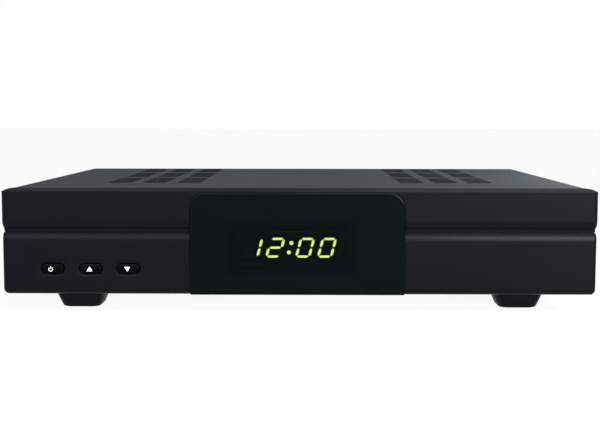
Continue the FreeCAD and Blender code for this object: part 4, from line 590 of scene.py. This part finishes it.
def fascia_patches():
    """The shell: face, window seat, top, keys' holes, front wall's back, hollow and back rim."""
    section = fascia_section()
    columns = fascia_stations()
    levels = section[:, 1]
    face = face_points(section, columns)
    middle_x, middle_z = middles_of(face[..., 0], face[..., 2])
    in_window = (middle_x > SEAT_LEFT) & (middle_x < SEAT_RIGHT)
    patches = [sheet_of(face, ~in_window & ~in_boxes(middle_x, middle_z, KEY_BLOCKS))]
    patches += seat_patches(section, columns)

    outer = CORNER - HALF - CORNER * np.cos(np.linspace(0, QUARTER, 9))
    top_x = np.concatenate([outer, columns, -outer[::-1]])
    tongue = columns[np.abs(columns) <= TONGUE_HALF]
    patches += top_patches(top_x, tongue)
    patches += [tube_of(key_hole_loops(x)) for x in KEY_X]

    half, floor, roof = INNER
    inner_x = np.concatenate([[-half], columns[np.abs(columns) < half - 1], [half]])
    inner_z = np.concatenate([[roof], levels[(levels < roof - 0.5) & (levels > floor + 0.5)], [floor]])
    x, z = np.meshgrid(inner_x, inner_z)
    pierced = in_boxes(*middles_of(x, z), OPENINGS + KEY_BLOCKS)
    patches.append(sheet_of(behind_face(x, WALL_DEPTH, z), ~pierced))
    patches.append(opening_sides(-half, half, floor, roof, inner_x, inner_z, WALL_DEPTH, BACK))

    end = face[:, 0][:, [0, 2]]
    lid_x = top_x[np.abs(top_x) >= TONGUE_HALF - NEAR]
    lid = np.stack([lid_x, top_height(lid_x, np.full(len(lid_x), BACK))], axis=-1)
    ledge = np.stack([tongue, np.full(len(tongue), TONGUE_Z)], axis=-1)
    foot = face[-1][:, [0, 2]]
    loop = np.concatenate([end[::-1], lid[lid_x < 0], ledge, lid[lid_x > 0], end * (-1, 1), foot[::-1]])
    drawn_in = np.stack([np.clip(loop[:, 0], -half, half), np.clip(loop[:, 1], floor, roof)], axis=-1)
    patches.append(tube_of([along_y(ring, 0, 0, FACE_Y + BACK) for ring in (loop, drawn_in)]))
    return patches


BOSSES = (  # x, z and how far back each screw boss reaches
    (-131.0, 44.0, 12.0),
    (43.0, 44.0, 12.0),
    (-73.0, 18.0, 12.0),
    (43.0, 18.0, 12.0),
    (-50.0, 15.0, 6.3),
    (25.0, 15.0, 6.3),
    (110.0, 15.0, 6.3),
)
RIBS = (-114.85, -95.75, 72.0, 100.5, 129.0)
RIB_HALF = 0.6
SKIRT_DEPTHS, SKIRT_FOOT = (5.9, 14.0), 19.0  # its front and back behind the face, and its lower ends
SKIRT_LINES = ((144.0, 61.0, 2.5), (142.0, 59.0, 0.6))  # outside and inside: half width, top and corner


def skirt_patches():
    """The skirt under the cover's tongue, screw bosses and ribs: closed bars inside the hollow."""
    ends = [FACE_Y + depth for depth in SKIRT_DEPTHS]
    arches = []
    for half, top, radius in SKIRT_LINES:
        line = [(-half, SKIRT_FOOT), (-half, top), (half, top), (half, SKIRT_FOOT)]
        arches.append(filleted(line, [radius, radius]))
    loop = np.concatenate([arches[0], arches[1][::-1]])
    patches = [tube_of([along_y(loop, 0, 0, y) for y in ends])]
    for y in ends:
        patches.append(sheet_of([along_y(arch, 0, 0, y) for arch in arches]))
    for x, z, reach in BOSSES:
        rings = [(3.0, 2.95), (3.0, reach - 0.2), (2.8, reach), (1.35, reach), (1.35, 3.2)]
        patches.append(turned([(radius, FACE_Y + depth) for radius, depth in rings], x, z, 24))
    for x in RIBS:
        patches.append(block_of(x - RIB_HALF, x + RIB_HALF, FACE_Y + 2.95, FACE_Y + BACK, 10.95, 59.1))
    return patches


piece("fascia", fascia_patches() + skirt_patches(), "fascia_plastic", "front_fascia")


# Display window

WINDOW_X, WINDOW_FRONT = -0.8, -114.5
WINDOW_WIDTH, WINDOW_LOW, WINDOW_HIGH = 108.4, 8.05, 59.95
DISPLAY_X, DISPLAY_Z = -4.5, 31.6  # middle of the clock display


def window_patches():
    """The window: its outline, square below and round above, carried back from a rounded front edge."""
    rings = [(25.9, 0.0), (12.0, 0.0), (3.0, 0.0)] + rounded_edge(0.8)
    rings += [(0.0, 2.8), (0.5, 2.8), (24.0, 2.8)]
    middle = (WINDOW_LOW + WINDOW_HIGH) / 2
    loops = []
    for inset, depth in rings:
        loop = outline(WINDOW_WIDTH, WINDOW_HIGH - WINDOW_LOW, (8.0, 8.0, 0.9, 0.9), inset)
        loops.append(along_y(loop, WINDOW_X, middle, WINDOW_FRONT + depth))
    return [solid_of(loops)]


clear_zone("window_plastic", (DISPLAY_X, DISPLAY_Z), half=(29.0, 11.0), clear=0.65)
piece("window", window_patches(), "window_plastic", "display_window")


# Keys and their printed symbols

KEY_FRONT = -114.4
KEY_CAP = (11.5, 5.4, 2.7)  # width, height and corner
KEY_FLANGE = (14.4, 8.3, 0.6)
KEY_PIN = (3.0, 3.0, 0.2)
CROWN = 14.0  # radius of the rounded front


def crown_depth(z):
    """How far the key's rounded front lies behind its foremost line, by the height z above the middle."""
    return CROWN - np.sqrt(CROWN**2 - z**2)


def key_patches(x):
    """One key: an obround with a rounded edge and crowned front, its flange and its square pin."""
    rings = []
    for inset, depth in [(inset, 0.0) for inset in (2.69, 2.3, 1.9, 1.4, 0.9)] + rounded_edge(0.55):
        loop = outline(*KEY_CAP, inset, 10)
        rings.append(along_y(loop, x, KEY_Z, KEY_FRONT + depth + crown_depth(loop[:, 1])))
    behind = [(KEY_CAP, -110.2), (KEY_FLANGE, -110.2), (KEY_FLANGE, -109.2)]
    behind += [(KEY_PIN, -109.2), (KEY_PIN, -106.5)]
    rings += [along_y(outline(*size, 0, 10), x, KEY_Z, y) for size, y in behind]
    return [solid_of(rings)]


def on_key(x, across, up, lift=0.02):
    """Points of a flat symbol laid on the key's crowned front, lifted off it by a printed film."""
    return np.stack([x + across, KEY_FRONT + crown_depth(up) - lift, KEY_Z + up], axis=-1)


def power_symbol(x):
    """A ring open at its top, from 38 to 322 degrees off the upright, and a bar down through the gap."""
    turn = np.radians(np.linspace(38, 322, 40))
    radius = np.array([0.88, 1.16])[:, None]
    ring = sheet_of(on_key(x, radius * np.sin(turn), radius * np.cos(turn) - 0.15))
    up = np.linspace(0.1, 1.35, 6)
    sides = np.array([[-0.13], [0.13]])
    bar = sheet_of(on_key(x, sides + 0 * up, up + 0 * sides))
    return [ring, bar]


def arrow_symbol(x, way):
    """A triangle: half the base times (1 - t) across at each height t up to the point."""
    half_base, tall, foot = 1.55, 2.35, -1.1
    t = np.linspace(0, 1, 7)[:, None]
    side = np.linspace(-1, 1, 7)
    across = half_base * side * (1 - t)
    up = way * (tall * t + foot) + 0 * side
    return [sheet_of(on_key(x, across, up))]


# The symbols are printed a little to the left of the caps' middles
symbols = (power_symbol(KEY_X[0] - 0.8), arrow_symbol(KEY_X[1] - 0.3, 1), arrow_symbol(KEY_X[2] - 0.3, -1))
for word, x, symbol in zip(("power", "up", "down"), KEY_X, symbols):
    body = word + "_key"
    piece(word + "_cap", key_patches(x), "button_plastic", word + "_button", body, crease=28)
    piece(word + "_symbol", symbol, "symbol_ink", body=body, thick=0.015)


# Top cover

COVER_HALF, COVER_FOOT, COVER_BACK = 145.0, 9.4, 104.5
TONGUE_BACK = -107.2  # the folds and sides start here; ahead of it there is only the tongue
BEND = 2.0  # radius of its folds
SLOT_X = np.array([-79.2, 79.2])[:, None] + np.array([-18.6, 0, 18.6])  # the vents' middles, across
SLOT_Y = FACE_Y + 49.2 + np.arange(3)[:, None] * 59.5 + np.arange(7) * 7.1  # and back
SLOT_LONG, SLOT_WIDE = 13.0, 4.7
VENTS_HALF, VENTS_FROM = (110.0, 101.0), 61.1  # round all vents: half across and along, and from what height


def cover_patches():
    """The cover: a bent section across x carried back along y, vents left out, lip turned down behind."""
    side, back = COVER_HALF - BEND, COVER_BACK - BEND
    turn = np.linspace(0, QUARTER, 7)[1:-1]
    slot_x = SLOT_X.ravel()[:, None] + np.array([-SLOT_LONG, SLOT_LONG]) / 2
    slot_y = SLOT_Y.ravel()[:, None] + np.array([-SLOT_WIDE, SLOT_WIDE]) / 2
    left = [(-COVER_HALF, z) for z in (COVER_FOOT, 12.0, 30.0, 50.0, 59.0, TOP_Z - BEND)]
    left += [(-side - BEND * math.cos(a), TOP_Z - BEND + BEND * math.sin(a)) for a in turn]
    left += [(-side, TOP_Z), (2 - side, TOP_Z)]
    across = [(x, TOP_Z) for x in sorted([*slot_x.ravel(), -110.0, -20.0, 0.0, 20.0, 110.0])]
    section = np.array(left + across + [(-x, z) for x, z in reversed(left)])
    depth = [(-111.5, -0.25), (-111.45, -0.12), (-111.35, -0.03), (-111.2, 0.0)]
    depth += [(y, 0.0) for y in [-109.0, TONGUE_BACK, *np.sort(slot_y.ravel()), 101.0, back]]
    depth += [(back + BEND * math.sin(a), BEND * math.cos(a) - BEND) for a in turn]
    depth += [(COVER_BACK, -2.0), (COVER_BACK, -4.0), (COVER_BACK, -10.0)]
    depth = np.array(depth)
    x, y = np.meshgrid(section[:, 0], depth[:, 0])
    z = section[:, 1] + depth[:, 1:]
    middle_x, middle_y = middles_of(x, y)
    keep = ~in_boxes(middle_x, middle_y, [(*across, *along) for across in slot_x for along in slot_y])
    keep &= (middle_y > TONGUE_BACK) | (np.abs(middle_x) < side)
    keep &= (middle_y < back) | (np.abs(middle_x) < side - 2)
    return [sheet_of(np.stack([x, y, z], axis=-1), keep)]


def paint_vent_shade(mesh):
    """Set the painted shade attribute to 1 on the faces inside the vents: upright ones, just under the top.
    These walls then take a dark colour that stands in for the shade in the slots.
    """
    middles = np.empty(len(mesh.polygons) * 3)
    normals = np.empty(len(mesh.polygons) * 3)
    mesh.polygons.foreach_get("center", middles)
    mesh.polygons.foreach_get("normal", normals)
    middles = middles.reshape(-1, 3) / MM
    upright = np.abs(normals.reshape(-1, 3)[:, 2]) < 0.5
    in_vents = (middles[:, 2] > VENTS_FROM) & (np.abs(middles[:, :2]) < VENTS_HALF).all(axis=1)
    shade_flags = mesh.attributes.new("painted_vent_shade", "FLOAT", "FACE")
    shade_flags.data.foreach_set("value", (upright & in_vents).astype(np.float32))


# The upright walls inside the cover's vents are flagged for painted shade
paint_vent_shade(piece("cover", cover_patches(), "cover_paint", "top_cover", thick=0.8).data)


# Feet

FEET = [(x, y) for x in (-112.4, 112.4) for y in (-93.5, 84.5)]


def foot_patch(x, y):
    """A foot: an eased square that tapers to the floor, rounded below, bored up from below for its screw."""
    profile = filleted([(0, 9), (13.5, 9), (9.45, 0), (4, 0), (4, 6), (0, 6)], [0.3, 1.5, 0.4, 0.2], 5)
    rings = []
    for half, z in profile[1:-1]:
        radius = 4.0 if half > 5 else half  # round at the bore, an eased square outside
        loop = outline(2 * half, 2 * half, radius, 0, 6)
        rings.append(np.column_stack([loop + (x, y), np.full(len(loop), z)]))
    return solid_of(rings)


piece("rubber_feet", [foot_patch(x, y) for x, y in FEET], "foot_plastic", "feet", crease=40)


# Antenna sockets

ANTENNA_X = {"input": -128.0, "output": -102.0}
ANTENNA_Z, ANTENNA_ROOT, ANTENNA_TIP = 26.6, 104.5, 114.5
THREAD_RADIUS, THREAD_DEPTH, THREAD_PITCH = 4.74, 0.34, 0.8
COLLAR_HALF = 6.35  # half the way across the collar's flats


def antenna_patches(x):
    """A threaded socket: radius falls and rises with y and with the turn, so the crest runs in a helix.

    Behind it come a hexagonal collar and a shoulder, and in front a mouth that is open for the core.
    """
    end = ANTENNA_TIP - THREAD_PITCH
    y = np.linspace(ANTENNA_ROOT, end, 72)[:, None]
    turn = around()
    wave = 0.5 + 0.5 * np.cos(2 * math.pi * (y / THREAD_PITCH) - turn)
    fade = np.clip(np.minimum(y - ANTENNA_ROOT, end - y) / THREAD_PITCH, 0, 1)
    radius = THREAD_RADIUS - THREAD_DEPTH * fade * (1 - wave)
    thread = np.stack([x + radius * np.cos(turn), y + 0 * turn, ANTENNA_Z + radius * np.sin(turn)], axis=-1)
    collar = hexagonal(COLLAR_HALF)
    behind = [(collar * 0.96, 94.5), (collar, 94.9), (collar, 102.0), (collar * 0.96, 102.4)]
    behind += [(circle(r), y) for r, y in ((5.7, 102.4), (5.7, 104.3), (5.5, 104.5), (4.9, 104.5))]
    mouth = [(4.45, -0.45), (4.1, -0.08), (3.95, 0), (3.45, 0), (3.35, -0.1), (3.35, -0.9)]
    mouth = [(circle(r), ANTENNA_TIP + out) for r, out in mouth]
    behind, mouth = ([along_y(loop, x, ANTENNA_Z, y) for loop, y in rings] for rings in (behind, mouth))
    return [solid_of(np.concatenate([behind, thread, mouth]))]


# The white insulator, as (radius, y): a disc with a raised ring and a bore for the cable's wire
core = [(3.3, 113.2), (3.3, 113.9), (3.1, 114.0), (1.3, 114.0)]
core += [(1.2, 113.9), (0.95, 113.5), (0.55, 113.4), (0.55, 110.0)]
for word, x in ANTENNA_X.items():
    name = "antenna_" + word
    piece(name, antenna_patches(x), "nickel_plate", name + "_socket", crease=40)
    piece(name + "_core", [turned(core, x, ANTENNA_Z, 32)], "insulator_white")


# Clock display

BAR_Y, BAR_THICK = -109.7, 0.2  # fronts of the lit bars, and their thickness
UPRIGHT_BAR, LEVEL_BAR = (3.9, 1.3), (5.6, 1.15)  # length and width
DIGIT_HALF = (3.25, 4.5)
DIGIT_X = (-23.15, -12.05, 3.05, 14.15)
DOT_RADIUS, DOT_UP = 0.98, 2.4
LEAN = math.tan(math.radians(15))
MASK_GAP = 0.65  # round the mask, in the display's opening
MASK_Y = (-109.54, -109.45)  # its front and back
DIGITS = {"0": "abcdef", "1": "bc", "2": "abdeg"}
BARS = {  # each bar's place in half widths across and half heights up, and whether it stands upright
    "a": (0, 1, False),
    "b": (1, 0.5, True),
    "c": (1, -0.5, True),
    "d": (0, -1, False),
    "e": (-1, -0.5, True),
    "f": (-1, 0.5, True),
    "g": (0, 0, False),
}


def bar_patches(x, letters):
    """A digit's lit bars: six-sided outlines with pointed ends, leant over by x = z tan 15 degrees."""
    made = []
    for letter in letters:
        across, up, upright = BARS[letter]
        length, wide = UPRIGHT_BAR if upright else LEVEL_BAR
        half, tip = wide / 2, length / 2
        neck = tip - half
        loop = np.array([(-tip, 0), (-neck, -half), (neck, -half), (tip, 0), (neck, half), (-neck, half)])
        loop = loop[:, ::-1] * (1, -1) if upright else loop
        loop = loop + (across * DIGIT_HALF[0], up * DIGIT_HALF[1])
        loop[:, 0] += loop[:, 1] * LEAN
        made.append(solid_of([along_y(loop, x, DISPLAY_Z, y) for y in (BAR_Y + BAR_THICK, BAR_Y)]))
    return made


def colon_patches(x):
    """The colon: two round dots on the same slant as the digits."""
    rings = [(DOT_RADIUS, BAR_Y + BAR_THICK), (DOT_RADIUS, BAR_Y)]
    return [turned(rings, x + up * LEAN, DISPLAY_Z + up, 24) for up in (DOT_UP, -DOT_UP)]


x0, x1, z0, z1 = DISPLAY_OPENING
mask = block_of(x0 + MASK_GAP, x1 - MASK_GAP, *MASK_Y, z0 + MASK_GAP, z1 - MASK_GAP)
piece("display_mask", [mask], "display_mask", ease=0.02)
lit = []
for x, digit in zip(DIGIT_X, "1200"):
    lit += bar_patches(x, DIGITS[digit])
piece("clock_bars", lit + colon_patches(DISPLAY_X), "lit_bars", "display_lit_bars")


# Phono sockets

PHONO = {"yellow": -76.5, "white": -62.5, "red": -48.5, "orange": -34.5}
PHONO_Z = 26.9

# A barrel goes up the outside, over a rounded lip and down the inside; a sleeve's face dips to its bore
barrel = [(3.9, 103.9), (4.15, 104.15), (4.15, 112.3), (4.02, 112.7)]
barrel += [(3.75, 112.9), (3.45, 112.86), (3.3, 112.6), (3.3, 104.9)]
sleeve = [(3.28, 104.95), (3.28, 112.1), (3.1, 112.3), (2.3, 112.3)]
sleeve += [(1.9, 112.15), (1.66, 111.8), (1.66, 105.5)]
barrels = [turned(barrel, x, PHONO_Z, 40) for x in PHONO.values()]
piece("phono_shells", barrels, "nickel_plate", "phono_barrels", crease=40)
for colour, x in PHONO.items():
    piece("phono_sleeve_" + colour, [turned(sleeve, x, PHONO_Z, 40)], "sleeve_" + colour, crease=40)


# Television and serial sockets

TELEVISION_X, TELEVISION_Z = 4.5, (25.9, 42.9)
CONTACT_PITCH, CONTACT_ROW = 3.4, 1.9  # between contacts, and from the socket's middle to a row's
CONTACT_HALF = (0.28, 1.25)
SERIAL_X, SERIAL_Z = 52.0, 25.4
SERIAL_BODY = (36.5, 67.5, 91.4, 102.4, 17.4, 31.65)
PIN_PITCH, PIN_ROW = 2.76, 1.42
POST_X = (39.5, 64.5)


def contact_patches():
    """Spring contacts on each socket's face: two rows at even pitch, the lower row half a pitch aside."""
    wide, tall = CONTACT_HALF
    made = []
    for middle in TELEVISION_Z:
        for z, shift in ((middle + CONTACT_ROW, -0.95), (middle - CONTACT_ROW, 0.95)):
            for x in TELEVISION_X + shift + CONTACT_PITCH * (np.arange(10) - 4.5):
                made.append(block_of(x - wide, x + wide, PANEL_Y - 0.1, PANEL_Y + 0.64, z - tall, z + tall))
    return made


def shell_outline(inset):
    """The serial shell's outline: wide above and narrow below, each side drawn in, its corners rounded."""
    top, low, tall = 8.3 - inset, 6.9 - inset, 4.0 - inset
    corners = [(0, tall), (-top, tall), (-low, -tall), (low, -tall), (top, tall), (0, tall)]
    return filleted(corners, [max(1.5 - inset, 0.3)] * 4, 6)[:-1]


def shell_patches(rings):
    """A closed skin of (inset, y) rings on the serial shell's outline."""
    return [solid_of([along_y(shell_outline(inset), SERIAL_X, SERIAL_Z, y) for inset, y in rings])]


def pin_socket_patches():
    """Nine pin sockets, five over four: each a short tube with a rounded mouth."""
    rings = [(0.72, 108.1), (0.72, 108.3), (0.62, 108.38), (0.48, 108.34), (0.42, 108.2), (0.42, 106.0)]
    made = []
    for count, up in ((5, PIN_ROW), (4, -PIN_ROW)):
        for across in PIN_PITCH * (np.arange(count) - (count - 1) / 2):
            made.append(turned(rings, SERIAL_X + across, SERIAL_Z + up, 16))
    return made


def jack_post_patch(x):
    """A jack post: a hexagon with a turned-down tip, bored for a screw, and its thread behind."""
    nut = hexagonal(2.4)
    rings = [(circle(1.3), 97.9), (circle(1.3), PANEL_Y), (nut, PANEL_Y), (nut, 107.8), (nut * 0.93, 108.1)]
    rings += [(circle(1.25), 108.1), (circle(1.05), 107.8), (circle(1.05), 104.4)]
    return solid_of([along_y(loop, x, SERIAL_Z, y) for loop, y in rings])


# The shell and the insulating face in it, as (inset, y)
shell = [(0.0, 102.4), (0.0, 108.9), (0.12, 109.2), (0.35, 109.3), (0.55, 109.2), (0.6, 108.9), (0.6, 103.2)]
face = [(0.62, 103.0), (0.62, 108.1), (0.8, 108.25)]
piece("television_contacts", contact_patches(), "contact_gold", ease=0.06)
piece("serial_body", [block_of(*SERIAL_BODY)], "nickel_plate", "serial_socket", ease=0.3)
piece("serial_shell", shell_patches(shell), "nickel_plate")
piece("serial_face", shell_patches(face), "dark_plastic")
piece("serial_pins", pin_socket_patches(), "contact_gold")
piece("jack_posts", [jack_post_patch(x) for x in POST_X], "nickel_plate", "serial_jack_posts")


# Mains inlet

INLET_X, INLET_Z = (107.7, 116.3), 26.8
PIN_RADIUS, PIN_END = 1.2, 99.9

# A pin is a round bar whose tip follows a quarter circle
pin = [(PIN_RADIUS, 92.1), (PIN_RADIUS, PIN_END)]
for a in np.linspace(0, QUARTER, 6)[1:-1]:
    pin.append((PIN_RADIUS * math.cos(a), PIN_END + PIN_RADIUS * math.sin(a)))
pins = [turned(pin, x, INLET_Z, 24) for x in INLET_X]
piece("inlet_pins", pins, "brass_pins", "mains_pins", crease=50)


# Screws

HEAD = [(2.75, 0.0), (2.8, 0.15), (2.8, 0.7), (2.6, 1.2), (2.2, 1.55), (1.8, 1.74), (1.6, 1.78)]


def screw_patch(seat, out, length):
    """A pan-headed screw: turned rings, then a cross whose reach is 0.42 + cos(2t)^4 sinking into the head.

    The rings lie square to the unit vector out; their height is counted from the seat under the head.
    """
    seat, out = np.array(seat, float), np.array(out, float)
    side = np.cross(out, (0.0, 0.0, 1.0) if abs(out[2]) < 0.5 else (0.0, 1.0, 0.0))
    over = np.cross(out, side)
    cross = 0.42 + np.cos(2 * around()) ** 4
    rings = [(1.0, -length), (1.3, 0.4 - length), (1.3, 0.0), *HEAD]
    rings += [(cross, 1.78), (cross * 0.9, 1.5), (cross * 0.55, 0.7)]
    loops = [(circle(reach), height) for reach, height in rings]
    return solid_of([seat + loop @ (side, over) + height * out for loop, height in loops])


seats = [((way * COVER_HALF, y, 13.6), (way, 0, 0)) for way in (-1, 1) for y in (-73.5, 66.5)]
seats += [((x, COVER_BACK, 57.0), (0, 1, 0)) for x in (-110.0, -23.25, 110.0)]
cover_screws = [screw_patch(seat, out, 5.0) for seat, out in seats]
foot_screws = [screw_patch((x, y, 6.0), (0, 0, -1), 6.2) for x, y in FEET]
piece("cover_fixings", cover_screws, "black_screws", "cover_screws", crease=40)
piece("foot_fixings", foot_screws, "zinc_screws", "foot_screws", crease=40)


# Studio: floor, surroundings, lamps and camera


def on_show(tree):
    """1 for what the camera, a reflection or glass looks at, and 0 for light on its way to the object."""
    seen = added(tree, "LightPath")
    either = worked(tree, "MAXIMUM", seen.outputs["Is Camera Ray"], seen.outputs["Is Glossy Ray"])
    return worked(tree, "MAXIMUM", either, seen.outputs["Is Transmission Ray"])


def studio_white(name, grey, share):
    """A pale surface that the camera and reflections see as near white, and that still takes shadows."""
    made = finish(name, grey, grey, 400, (0.8, 0.9), 30, 0.0)
    tree = made.node_tree
    glow = added(tree, "Emission", Color=(1, 1, 1, 1))
    mix = added(tree, "MixShader", Fac=worked(tree, "MULTIPLY", on_show(tree), share))
    tree.links.new(tree.nodes["Principled BSDF"].outputs[0], mix.inputs[1])
    tree.links.new(glow.outputs[0], mix.inputs[2])
    tree.links.new(mix.outputs[0], tree.nodes["Material Output"].inputs["Surface"])
    return made


reach = 9.0  # half the floor's width
corners = [(-reach, -reach, 0), (reach, -reach, 0), (reach, reach, 0), (-reach, reach, 0)]
mesh = bpy.data.meshes.new("floor")
mesh.from_pydata(corners, [], [(0, 1, 2, 3)])
mesh.materials.append(studio_white("floor_white", (235, 235, 235), 0.92))
object_of("floor", mesh)

world = bpy.data.worlds.new("studio")
bpy.context.scene.world = world
world.use_nodes = True
tree = world.node_tree
direction = added(tree, "TexCoord")
parts = added(tree, "SeparateXYZ", Vector=direction.outputs["Generated"])


def graded(axis, reach, dark, light):
    """A direction's part along an axis, from -reach to reach, as a brightness between dark and light."""
    part = parts.outputs[axis]
    made = added(tree, "MapRange", Value=part, From_Min=-reach, From_Max=reach, To_Min=dark, To_Max=light)
    return made.outputs["Result"]


from_behind = graded("Y", reach=0.6, dark=0.3, light=0.5)
from_right = graded("X", reach=0.7, dark=0.7, light=1.0)
level = worked(tree, "MULTIPLY", from_behind, from_right)
back = tree.nodes["Background"]
back.inputs["Color"].default_value = (1, 1, 1, 1)
tree.links.new(worked(tree, "MAXIMUM", on_show(tree), level), back.inputs["Strength"])


def lamp(name, place, aim, size, power):
    """A rectangular soft lamp at a place that shines at a point, in metres and watts."""
    light = bpy.data.lights.new(name, "AREA")
    light.shape = "RECTANGLE"
    light.size, light.size_y = size
    light.energy = power
    made = object_of(name, light)
    made.location = place
    made.rotation_euler = (Vector(aim) - Vector(place)).to_track_quat("-Z", "Y").to_euler()


lamp("top_lamp", (0.4, -0.49, 1.5), (0.05, -0.1, 0.03), (1.2, 0.35), 15.0)
lamp("top_left_lamp", (-0.5, -0.49, 1.5), (-0.05, -0.1, 0.03), (0.6, 0.35), 4.2)
lamp("low_lamp", (-0.1, -1.5, 0.46), (0.0, -0.11, 0.04), (1.6, 0.3), 12)
lamp("low_right_lamp", (0.65, -1.5, 0.34), (0.0, -0.11, 0.04), (0.8, 0.32), 22)
lamp("side_lamp", (0.255, 0.03, 0.105), (0.13, 0.0, 0.06), (0.12, 0.08), 1.05)

# How far the camera is turned to the left, down and about its own line
EYE_ROUND, EYE_DOWN, EYE_TWIST = (math.radians(a) for a in (0.553, 5.37, 0.065))
eye = bpy.data.cameras.new("camera")
eye.lens = 68.18
eye.sensor_width = 36
eye.clip_start = 0.01
camera = object_of("camera", eye)
camera.location = (0.005976, -0.68137, 0.097417)
flat = math.cos(EYE_DOWN)
forward = Vector((-math.sin(EYE_ROUND) * flat, math.cos(EYE_ROUND) * flat, -math.sin(EYE_DOWN)))
camera.rotation_mode = "QUATERNION"
camera.rotation_quaternion = forward.to_track_quat("-Z", "Y") @ Quaternion((0, 0, 1), EYE_TWIST)
bpy.context.scene.camera = camera
bpy.context.scene.view_settings.view_transform = "Standard"
